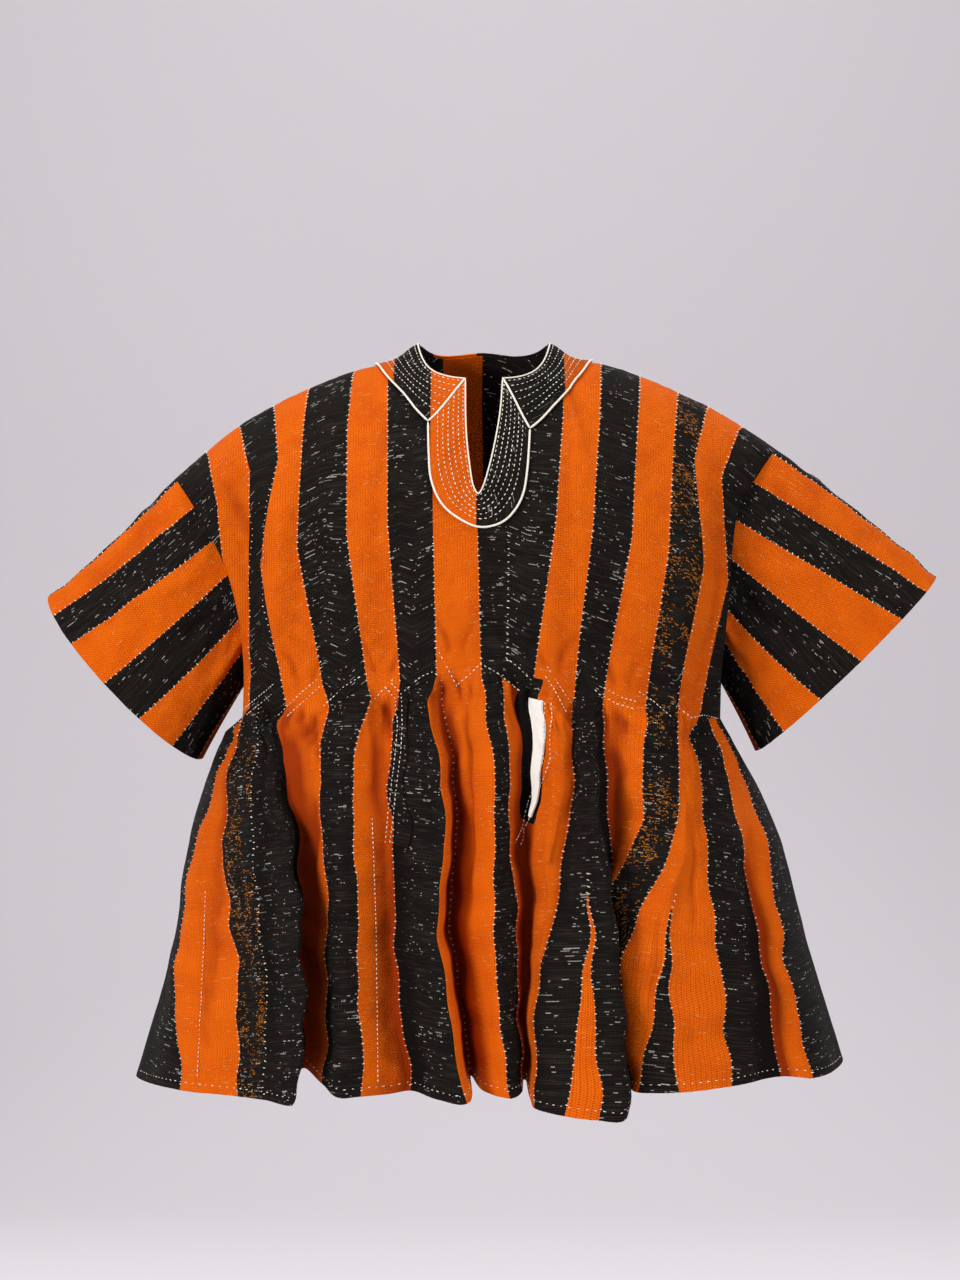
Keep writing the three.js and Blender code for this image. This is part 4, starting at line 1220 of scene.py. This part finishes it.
def sleeveStrip(shares, rows):
    middle = len(shares) // 2
    down = np.linspace(0, 1, rows)[:, None]
    strip = np.zeros((rows, len(shares)))
    for half, part, way in (("front", slice(0, middle + 1), -1), ("back", slice(middle, None), 1)):
        here = shares[None, part]
        value = np.zeros((rows, here.shape[1]))
        ends = zip(sleeveStrips[half + "Root"], sleeveStrips[half + "Cuff"])
        edges = [mix(root, cuff, down) for root, cuff in ends]
        for i in range(len(edges) - 1):
            inside = np.clip((here - edges[i]) / (edges[i + 1] - edges[i]), 0, 1)
            value = np.where(here >= edges[i], i + inside, value)
        strip[:, part] = 8 + way * value
    return strip


sleeveGrids = {}


def buildSleeve(label):
    shape = sleeves[label]
    points, shares = sleevePoints(shape)
    sign = shape["arm"]

    def around(grid):
        normals = gridNormals(grid[:, :-1], sign, closed=True)
        return np.concatenate([normals, normals[:, :1]], 1)

    normals = around(points)
    middle = points.shape[1] // 2
    along = arcs(points, 0)
    girth = arcs(points, 1)
    girth = girth[:, middle : middle + 1] - girth
    relief = 1.5 * creases(along, girth, sleeveCreases[label])
    relief = relief + 0.7 * uneven(along, girth + 50, 44, 21) + 0.3 * uneven(along, girth, 15, 22)
    edge = np.minimum(1, np.minimum(np.arange(points.shape[1]), np.arange(points.shape[1])[::-1]) / 6)
    clear = smoothStep(along, 4, 24) * edge[None]
    # painted shade in the troughs of the sleeve's creases
    hollow = 0.5 * np.clip(-relief * clear / 5, 0, 1)
    points = points + normals * (relief * clear)[..., None]
    normals = around(points)
    strip = sleeveStrip(shares, len(points))
    uv = clothUv(points, len(points) // 2)[..., ::-1]  # the strips run along the arm
    name = "sleeve" + label + "Cloth"
    values = {"strip": strip, "gore": noGore(strip), "hollow": hollow}
    piece = clothPiece(name, points, normals, panelThick, uv, values)
    pieces[name] = piece
    sleeveGrids[label] = (points, normals, strip)
    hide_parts("sleeve_" + label.lower())


# neck band and slit band
band = {
    "steps": 240,
    "shares": np.linspace(-0.03, 1, 15),
    "lift": 2.3,
    "thick": 2.2,
    "slitFiner": 8,
    "stitchSteps": 200,
    "stitchShares": [0.07, 0.2, 0.34, 0.48, 0.62, 0.76],
    "cordSteps": 220,
    "mitreGap": 1.2,
    "stripEdges": [-400, -91, -54, -8, 82, 400],
}


def neckPlan(angle, share):
    half = mix(neck["halfWidth"], neck["rimHalfWidth"], share)
    reach = np.where(
        np.cos(angle) > 0,
        mix(neck["front"], neck["rimFront"], share),
        mix(neck["back"], neck["rimBack"], share),
    )
    power = mix(neck["squareness"], 2, np.clip(share, 0, 1))
    sine, cosine = np.sin(angle), np.cos(angle)
    stretch = (np.abs(sine) ** power + np.abs(cosine) ** power) ** (-1 / power)
    return -half * sine * stretch, -reach * cosine * stretch


def mitreAngle(name, share):
    inner = math.atan(neck["slitHalfWidth"] / neck["halfWidth"])
    outer = math.asin(neck["mitreX"][name] / neck["rimHalfWidth"])
    return mix(inner, outer, share)


# outer points and normals of a flat piece that lies on the bodice
def onBodice(x, y=None, z=None):
    axis, value = (1, y) if z is None else (2, z)
    points = np.zeros(np.shape(x) + (3,))
    normals = np.zeros_like(points)
    for side in sides.values():
        here = (value * side["sign"] >= 0) if axis == 1 else np.full(np.shape(x), side["sign"] < 0)
        if not here.any():
            continue
        u, v = bodicePlace(side, x[here], axis, value[here])
        points[here] = bodicePoint(side, u, v)
        normals[here] = bodiceNormal(side, u, v)
    return points, normals


def neckBandPlaces(shares, steps):
    t = np.linspace(0, 1, steps)[:, None]
    shares = np.asarray(shares)[None, :]
    angle = mix(mitreAngle("right", shares), 2 * math.pi - mitreAngle("left", shares), t)
    x, y = neckPlan(angle, np.broadcast_to(shares, angle.shape))
    return onBodice(x, y=y)


def slitBandPlaces(shares, finer):
    shares = np.asarray(shares)
    ends = {}
    for name, way in (("right", 1), ("left", -1)):
        x, y = neckPlan(way * mitreAngle(name, shares), shares)
        points, _ = onBodice(x, y=y)
        ends[name] = np.stack([points[:, 0], points[:, 2] - band["mitreGap"]], -1)
    middle = mix(slitRows[:, None, :2], slitRows[:, None, 2:], shares[None, :, None])
    rows = np.concatenate([ends["right"][None], middle, ends["left"][None]])
    at = np.linspace(0, len(rows) - 1, (len(rows) - 1) * finer + 1)
    spots = np.arange(len(rows))
    fine = np.array([
        [[eased(spots, rows[:, c, i], a) for i in range(2)] for c in range(rows.shape[1])] for a in at
    ])
    return onBodice(fine[..., 0], z=fine[..., 1])


def buildBand(name, places, node):
    points, normals = places
    outer = points + normals * band["lift"]
    strip = placeStrips(outer[..., 0], band["stripEdges"])
    uv = clothUv(outer, len(outer) // 2)
    piece = clothPiece(name, outer, normals, band["thick"], uv, {"strip": strip, "gore": noGore(strip)})
    pieces[name] = piece
    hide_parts(node)


# pockets
pockets = {
    "weltRight": {"k": (10.1, 10.6), "level": (0.03, 0.4), "node": "pocket_welt_right"},
    "weltLeft": {"k": (17.95, 18.4), "level": (0.05, 0.42), "node": "pocket_welt_left"},
    "liningLeft": {"k": (17.2, 17.7), "level": (0.05, 0.34), "node": "pocket_lining_left"},
}
pocketMesh = {"rows": 60, "columns": 8, "lift": 2.0, "thick": 2.0}


def buildPocket(name):
    shape = pockets[name]
    ks = np.linspace(*shape["k"], pocketMesh["columns"])
    levels = np.linspace(*shape["level"], pocketMesh["rows"])
    points = skirtSurface(sides["front"], ks, levels)
    if name == "liningLeft":  # it tapers to a point inside the mouth
        down = np.linspace(0, 1, len(levels))[:, None]
        middle = points.mean(1, keepdims=True) + np.array([-4, 0, 0]) * smoothStep(down, 0, 1)[..., None]
        points = middle + (points - points.mean(1, keepdims=True)) * (1 - 0.82 * down**1.6)[..., None]
    normals = gridNormals(points, 1)
    outer = points + normals * pocketMesh["lift"]
    strip = np.full(points.shape[:2], 0.5)
    uv = clothUv(outer, len(outer) // 2)
    values = {"strip": strip, "gore": noGore(strip)}
    piece = clothPiece(name, outer, normals, pocketMesh["thick"], uv, values)
    pieces[name] = piece
    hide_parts(shape["node"])


# stitches and cords
# one node tree sews every row: it walks along the path and lays a rounded thread at each step
def stitchTree():
    tree = bpy.data.node_groups.new("sewAlong", "GeometryNodeTree")
    face = tree.interface
    face.new_socket("Geometry", in_out="INPUT", socket_type="NodeSocketGeometry")
    for label, kind in (("Spacing", "Float"), ("Length", "Float"), ("Thickness", "Float"),
                        ("Wander", "Float"), ("Seed", "Int"), ("Thread", "Material")):
        face.new_socket(label, in_out="INPUT", socket_type="NodeSocket" + kind)
    face.new_socket("Geometry", in_out="OUTPUT", socket_type="NodeSocketGeometry")

    def node(kind, settings=None, inputs=None):
        made = tree.nodes.new(kind)
        for key, value in (settings or {}).items():
            setattr(made, key, value)
        for key, value in (inputs or {}).items():
            if isinstance(value, bpy.types.NodeSocket):
                tree.links.new(value, made.inputs[key])
            else:
                made.inputs[key].default_value = value
        return made

    start = node("NodeGroupInput")
    socket = {item.name: start.outputs[i] for i, item in enumerate(
        item for item in face.items_tree if item.in_out == "INPUT")}
    curve = node("GeometryNodeMeshToCurve", None, {"Mesh": socket["Geometry"]})
    steps = node("GeometryNodeResampleCurve", None, {"Curve": curve.outputs[0]})
    if "Mode" in steps.inputs:
        steps.inputs["Mode"].default_value = "Length"
    else:
        steps.mode = "LENGTH"
    tree.links.new(socket["Spacing"], steps.inputs["Length"])
    bead = node("GeometryNodeMeshUVSphere", None, {"Segments": 6, "Rings": 4, "Radius": 0.5})
    lay = node("GeometryNodeInputNamedAttribute", {"data_type": "FLOAT_VECTOR"}, {"Name": "lay"})
    low = node("ShaderNodeVectorMath", {"operation": "SCALE"}, {0: (-1, -1, -1)})
    high = node("ShaderNodeVectorMath", {"operation": "SCALE"}, {0: (1, 1, 1)})
    for made in (low, high):
        tree.links.new(socket["Wander"], made.inputs["Scale"])
    stray = node("FunctionNodeRandomValue", {"data_type": "FLOAT_VECTOR"},
                 {0: low.outputs[0], 1: high.outputs[0], "Seed": socket["Seed"]})
    way = node("ShaderNodeVectorMath", {"operation": "ADD"}, {0: lay.outputs[0], 1: stray.outputs[0]})
    turn = node("FunctionNodeAlignRotationToVector", {"axis": "X"}, {"Vector": way.outputs[0]})
    size = node("ShaderNodeCombineXYZ", None, {
        0: socket["Length"], 1: socket["Thickness"], 2: socket["Thickness"]})
    vary = node("FunctionNodeRandomValue", {"data_type": "FLOAT"},
                {2: 0.65, 3: 1.2, "Seed": socket["Seed"]})
    scaled = node("ShaderNodeVectorMath", {"operation": "SCALE"}, {0: size.outputs[0]})
    tree.links.new(vary.outputs[1], scaled.inputs["Scale"])
    placed = node("GeometryNodeInstanceOnPoints", None, {
        "Points": steps.outputs[0], "Instance": bead.outputs[0], "Rotation": turn.outputs[0],
        "Scale": scaled.outputs[0]})
    real = node("GeometryNodeRealizeInstances", None, {0: placed.outputs[0]})
    smooth = node("GeometryNodeSetShadeSmooth", None, {0: real.outputs[0]})
    threaded = node("GeometryNodeSetMaterial", None, {
        "Geometry": smooth.outputs[0], "Material": socket["Thread"]})
    node("NodeGroupOutput", None, {0: threaded.outputs[0]})
    return tree


sewing = stitchTree()


# rows are lists of (points, lay) in millimetres: the path, and the way that each stitch lies
def sew(name, rows, stitch, seed):
    points, ways, edges = [], [], []
    for path, lay in rows:
        if len(path) < 2:
            continue
        edges += [(len(points) + i, len(points) + i + 1) for i in range(len(path) - 1)]
        points += (np.asarray(path) * mm).tolist()
        ways += np.asarray(lay).tolist()
    mesh = bpy.data.meshes.new(name + "Path")
    mesh.from_pydata(points, edges, [])
    layer = mesh.attributes.new("lay", "FLOAT_VECTOR", "POINT")
    layer.data.foreach_set("vector", np.array(ways, np.float32).reshape(-1))
    path = bpy.data.objects.new(name + "Path", mesh)
    bpy.context.collection.objects.link(path)
    sewn = path.modifiers.new("sew", "NODES")
    sewn.node_group = sewing
    values = {"Wander": stitch["wander"], "Seed": seed, "Thread": whiteThread}
    for size in ("spacing", "length", "thickness"):
        values[size.capitalize()] = stitch[size] * mm
    for item in sewing.interface.items_tree:
        if item.in_out == "INPUT" and item.name in values:
            sewn[item.identifier] = values[item.name]
    ready = path.evaluated_get(bpy.context.evaluated_depsgraph_get())
    piece = bpy.data.objects.new(name, bpy.data.meshes.new_from_object(ready))
    bpy.context.collection.objects.link(piece)
    path.modifiers.remove(sewn)
    bpy.data.objects.remove(path)
    pieces[name] = piece
    return piece


def tangents(points):
    return unit(np.gradient(points, axis=0))


# splits a path where it is hidden
def visibleRuns(points, lay, keep):
    runs, start = [], None
    for i, shown in enumerate(list(keep) + [False]):
        if shown and start is None:
            start = i
        if not shown and start is not None:
            if i - start > 2:
                runs.append((points[start:i], lay[start:i]))
            start = None
    return runs


cord = {"corners": 8, "pinch": 0.55}


# round cord along a path, closed at both ends
def cordPiece(name, paths, radius):
    corners = cord["corners"]
    points, faces = [], []
    for path in paths:
        way = tangents(path)
        aside = unit(np.cross(way, np.array([0.13, -0.97, 0.21])))
        above = np.cross(aside, way)
        first = len(points)
        for i, centre in enumerate(path):
            pinch = cord["pinch"] if i in (0, len(path) - 1) else 1.0
            for j in range(corners):
                turn = 2 * math.pi * j / corners
                out = aside[i] * math.cos(turn) + above[i] * math.sin(turn)
                points.append(((centre + out * radius * pinch) * mm).tolist())
        for i in range(len(path) - 1):
            for j in range(corners):
                a, b = first + i * corners + j, first + i * corners + (j + 1) % corners
                faces.append((a, b, b + corners, a + corners))
        faces.append([first + j for j in range(corners)][::-1])
        faces.append([first + (len(path) - 1) * corners + j for j in range(corners)])
    mesh = bpy.data.meshes.new(name)
    mesh.from_pydata(points, [], faces)
    mesh.shade_smooth()
    mesh.materials.append(whiteThread)
    piece = bpy.data.objects.new(name, mesh)
    bpy.context.collection.objects.link(piece)
    pieces[name] = piece
    return piece


seamDots = {"spacing": 6.4, "length": 2.8, "thickness": 0.98, "wander": 0.5, "lift": 0.5}
runStitch = {"spacing": 5.4, "length": 3.2, "thickness": 1.0, "wander": 0.10, "lift": 0.4}


def sewStripSeams(side):
    table = bodiceStrips[side["name"]]
    rows = []
    v = np.linspace(0.004, 0.995, 150)
    for row in table[1:-1]:
        x = np.interp(v, bodiceStrips["levels"], row)
        arm = armX(np.sign(x), v)
        u = shareAt(np.clip(x, arm.min() if x[0] < 0 else -900, arm.max() if x[0] > 0 else 900), v)
        points = bodiceSurface(side, u, v)
        normals = bodiceNormal(side, u, v)
        lay = unit(np.cross(normals, tangents(points)))
        keep = (bandClear(bodicePoint(side, u, v)) > 0.01) & (np.abs(x) < np.abs(arm) - 2)
        rows += visibleRuns(points + normals * seamDots["lift"], lay, keep)
    sew(side["name"] + "SeamDots", rows, seamDots, 3)


def sewSkirtSeams(side, seams):
    rows = []
    levels = np.linspace(0.02, 0.985, 150)
    for k in seams:
        points = skirtSurface(side, np.array([k - 0.02, k, k + 0.02]), levels)
        normals = gridNormals(points, -side["sign"])[:, 1]
        lay = unit(points[:, 2] - points[:, 0])
        rows.append((points[:, 1] + normals * seamDots["lift"], lay))
    sew("skirt" + side["name"].capitalize() + "SeamDots", rows, seamDots, 4)


def sewSleeveSeams(label):
    points, normals, strip = sleeveGrids[label]
    rows = []
    columns = np.arange(points.shape[1])
    for value in range(1, 16):
        spots = [np.interp(value, line, columns) for line in strip[2:-1]]
        low = np.floor(spots).astype(int).clip(0, len(columns) - 2)
        share = (np.array(spots) - low)[:, None]
        lines = np.arange(2, len(strip) - 1)
        path = mix(points[lines, low], points[lines, low + 1], share)
        above = normals[lines, low]
        keep = np.array([line[0] + 0.05 < value < line[-1] - 0.05 for line in strip[2:-1]])
        lay = unit(np.cross(above, tangents(path)))
        rows += visibleRuns(path + above * seamDots["lift"], lay, keep)
    sew("sleeve" + label + "SeamDots", rows, seamDots, 5)


# points and normals of the outermost cloth at places seen square on
def surfaceAt(side, x, z):
    points = np.concatenate([grid.reshape(-1, 3) for grid, _ in laid[side["name"]]])
    normals = np.concatenate([grid.reshape(-1, 3) for _, grid in laid[side["name"]]])
    found, ways = [], []
    for placeX, placeZ in zip(x, z):
        gap = np.hypot(points[:, 0] - placeX, points[:, 2] - placeZ)
        near = np.flatnonzero(gap < max(5.0, gap.min() + 2))
        out = side["sign"] * points[near, 1]
        near = near[out > out.max() - 5]
        weight = np.exp(-((gap[near] / 2.4) ** 2))[:, None] + 1e-9
        found.append((placeX, (points[near, 1:2] * weight).sum() / weight.sum(), placeZ))
        ways.append((normals[near] * weight).sum(0))
    return np.array(found), unit(np.array(ways))


# rows sewn by hand on the outside: corners (x, z) of each row, and how far it is lifted
handRows = {
    "front": [
        ([(-245, -357), (-212, -331)], 0), ([(-238, -361), (-214, -341)], 0),
        ([(-205, -361), (-184, -340), (-167, -326)], 0), ([(-196, -362), (-164, -333)], 0),
        ([(-158, -351), (-140, -333), (-124, -323)], 0), ([(-108, -344), (-91, -326)], 0),
        ([(-78, -336), (-62, -322), (-47, -316)], 0), ([(-44, -299), (-36, -314), (-27, -331)], 0),
        ([(-27, -331), (-14, -320), (-3, -309)], 0), ([(-3, -310), (12, -318), (34, -335)], 0),
        ([(22, -304), (34, -313), (46, -325)], 0), ([(56, -315), (68, -333), (80, -356)], 0),
        ([(63, -313), (74, -331), (86, -348)], 0), ([(92, -320), (103, -328), (114, -340)], 0),
        ([(115, -340), (131, -349), (147, -354)], 0), ([(120, -334), (136, -343), (150, -347)], 0),
        ([(155, -338), (170, -348), (186, -362)], 0), ([(189, -350), (200, -358), (208, -364)], 0),
        ([(208, -364), (222, -362), (238, -366)], 0),
        ([(-90, -330), (-80, -341), (-79, -372), (-82, -412), (-91, -484)], 2.3),
        ([(-96, -334), (-85, -346), (-84, -374), (-87, -412), (-97, -484)], 2.3),
        ([(66, -350), (66, -404), (46, -464), (34, -486)], 2.3),
        ([(60, -350), (60, -404), (40, -462), (28, -484)], 2.3),
        ([(-280, -540), (-283, -716)], 0), ([(-110, -462), (-106, -560), (-103, -712)], 0),
    ],
    "back": [
        ([(-226, -362), (-204, -346)], 0), ([(-206, -362), (-186, -342)], 0),
        ([(-150, -345), (-124, -336)], 0), ([(-120, -352), (-104, -334)], 0),
        ([(-60, -338), (-34, -326)], 0), ([(-6, -330), (20, -318)], 0),
        ([(26, -338), (46, -326)], 0), ([(84, -336), (106, -330)], 0),
        ([(130, -342), (152, -336)], 0), ([(160, -348), (186, -344)], 0), ([(206, -358), (228, -350)], 0),
    ],
}
handStitch = {"spacing": 4.6, "length": 2.9, "thickness": 0.95, "wander": 0.12, "lift": 0.55, "step": 1.5}
hemStitch = {"spacing": 8.5, "length": 3.2, "thickness": 0.85, "wander": 0.2, "level": 0.979}


def sewByHand(side):
    rows = []
    for corners, lift in handRows[side["name"]]:
        corners = np.array(corners, float)
        along = arcs(corners, 0)
        line = resample(corners, along, max(4, int(along[-1] / handStitch["step"])))
        points, normals = surfaceAt(side, line[:, 0], line[:, 1])
        path = points + normals * (handStitch["lift"] + lift)
        rows.append((path, tangents(path)))
    level = hemStitch["level"]
    ks = np.linspace(0.3, len(side["folds"]) - 1.3, 700)
    points = skirtSurface(side, ks, np.array([level - 0.01, level, level + 0.01]))
    normals = gridNormals(points, -side["sign"])[1]
    hem = points[1] + normals * handStitch["lift"]
    sew(side["name"] + "HandStitches", rows, handStitch, 11)
    sew(side["name"] + "HemStitches", [(hem, tangents(hem))], hemStitch, 12)


def sewGores(side):
    rows = []
    for middle, half, tip in gores[side["name"]]:
        for way in (-1, 1):
            path, lay = [], []
            for level in np.linspace(tip + 0.02, 0.975, 40):
                k = middle + way * half * (level - tip) / (1 - tip)
                ks = np.array([k - 0.02, k, k + 0.02])
                levels = np.array([level - 0.01, level, level + 0.01])
                points = skirtSurface(side, ks, levels)
                normal = gridNormals(points, -side["sign"])[1, 1]
                path.append(points[1, 1] + normal * seamDots["lift"])
                lay.append(unit(points[1, 2] - points[1, 0]))
            rows.append((np.array(path), np.array(lay)))
    sew(side["name"] + "GoreDots", rows, seamDots, 6)


def sewBands():
    rows = []
    shares = band["stitchShares"]
    for points, normals in (
        neckBandPlaces(shares, band["stitchSteps"]), slitBandPlaces(shares, band["slitFiner"])
    ):
        for c in range(len(shares)):
            path = points[:, c] + normals[:, c] * (band["lift"] + runStitch["lift"])
            rows.append((path, tangents(path)))
    sew("bandStitches", rows, runStitch, 7)


def coverBands():
    rim, normals = neckBandPlaces([0.0, 1.0], band["cordSteps"])
    slit, slitNormals = slitBandPlaces([0.0, 1.0], band["slitFiner"])
    lift = band["lift"] + 0.3
    paths = [
        rim[:, 1] + normals[:, 1] * lift,
        slit[:, 1] + slitNormals[:, 1] * lift,
        slit[:, 0] + slitNormals[:, 0] * lift,
        rim[:, 0] + normals[:, 0] * lift,
    ]
    for name, way in (("right", 1), ("left", -1)):
        shares = np.linspace(0, 1, 24)
        x, y = neckPlan(way * mitreAngle(name, shares), shares)
        points, around = onBodice(x, y=y)
        paths.append(points + around * (lift + 0.2))
    cordPiece("bandCords", paths[:2] + paths[4:], 1.1)
    cordPiece("edgeCords", paths[2:4], 0.8)


for side in sides.values():
    buildBodice(side)
    buildSkirt(side)
for label in sleeves:
    buildSleeve(label)
buildBand("neckBand", neckBandPlaces(band["shares"], band["steps"]), "neck_band")
buildBand("slitBand", slitBandPlaces(band["shares"], band["slitFiner"]), "slit_band")
for name in pockets:
    buildPocket(name)
print("cloth built")

# the strips of each piece, one letter for each interval
words = {
    "frontBodice": "kokokokokkokofok",
    "backBodice": "kokokokokkokokok",
    "skirtFront": "kofkkokkookkoookoookkkkofoookok",
    "skirtBack": "kokokokokokokokokokoko",
    "sleeveRightCloth": "okokokokokokokok",
    "sleeveLeftCloth": "okokokokokokokok",
    "neckBand": "okoko",
    "slitBand": "okoko",
    "weltRight": "k",
    "weltLeft": "o",
}
for name, word in words.items():
    pieces[name].data.materials.append(stripCloth(name + "Cloth", word))
pieces["liningLeft"].data.materials.append(plainCotton("liningCotton", (0.78, 0.75, 0.69)))
print("cloth dyed")

for side in sides.values():
    sewStripSeams(side)
sewSkirtSeams(sides["front"], [1, 2, 3, 6, 8, 10, 13, 15, 16, 19, 23, 24, 25, 28, 29, 30])
sewSkirtSeams(sides["back"], list(range(1, 22)))
for side in sides.values():
    sewByHand(side)
    sewGores(side)
for label in sleeves:
    sewSleeveSeams(label)
sewBands()
coverBands()
print("sewn")

# each cloth piece: its cut, how it is held, its finish and what is sewn to it
cuts = {
    "frontBodice": {"flat": (0.62, 0.38), "area": 0.215, "held": "hung", "slot": "strip_cloth",
                    "sewn": ["frontSeamDots", "frontHandStitches"]},
    "backBodice": {"flat": (0.62, 0.40), "area": 0.220, "held": "hung", "slot": "strip_cloth",
                   "sewn": ["backSeamDots", "backHandStitches"]},
    "sleeveRightCloth": {"flat": (0.48, 0.16), "held": "hung", "slot": "strip_cloth",
                         "sewn": ["sleeveRightSeamDots"]},
    "sleeveLeftCloth": {"flat": (0.50, 0.175), "held": "hung", "slot": "strip_cloth",
                        "sewn": ["sleeveLeftSeamDots"]},
    "skirtFront": {"flat": (1.0, 0.385), "held": "gathered", "slot": "strip_cloth",
                   "sewn": ["skirtFrontSeamDots", "frontHemStitches", "frontGoreDots"]},
    "skirtBack": {"flat": (0.95, 0.385), "held": "gathered", "slot": "strip_cloth",
                  "sewn": ["skirtBackSeamDots", "backHemStitches", "backGoreDots"]},
    "neckBand": {"flat": (0.60, 0.10), "area": 0.0305, "held": "laid", "slot": "band_cloth",
                 "on": ["frontBodice", "backBodice"], "sewn": ["bandStitches", "bandCords", "edgeCords"]},
    "slitBand": {"flat": (0.11, 0.14), "area": 0.0096, "held": "laid", "slot": "band_cloth",
                 "on": ["frontBodice"]},
    "weltRight": {"flat": (0.015, 0.147), "held": "laid", "slot": "welt_cloth", "on": ["skirtFront"]},
    "weltLeft": {"flat": (0.0115, 0.148), "held": "laid", "slot": "welt_cloth", "on": ["skirtFront"]},
    "liningLeft": {"flat": (0.018, 0.115), "area": 0.0018, "held": "laid", "slot": "lining_cloth",
                   "on": ["skirtFront"]},
}
for name, cut in cuts.items():
    extra = {"area": cut["area"]} if "area" in cut else {}
    sewn = [pieces[other] for other in cut.get("sewn", [])]
    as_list(cut.get("on", []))

for piece in pieces.values():
    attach(piece, "root")
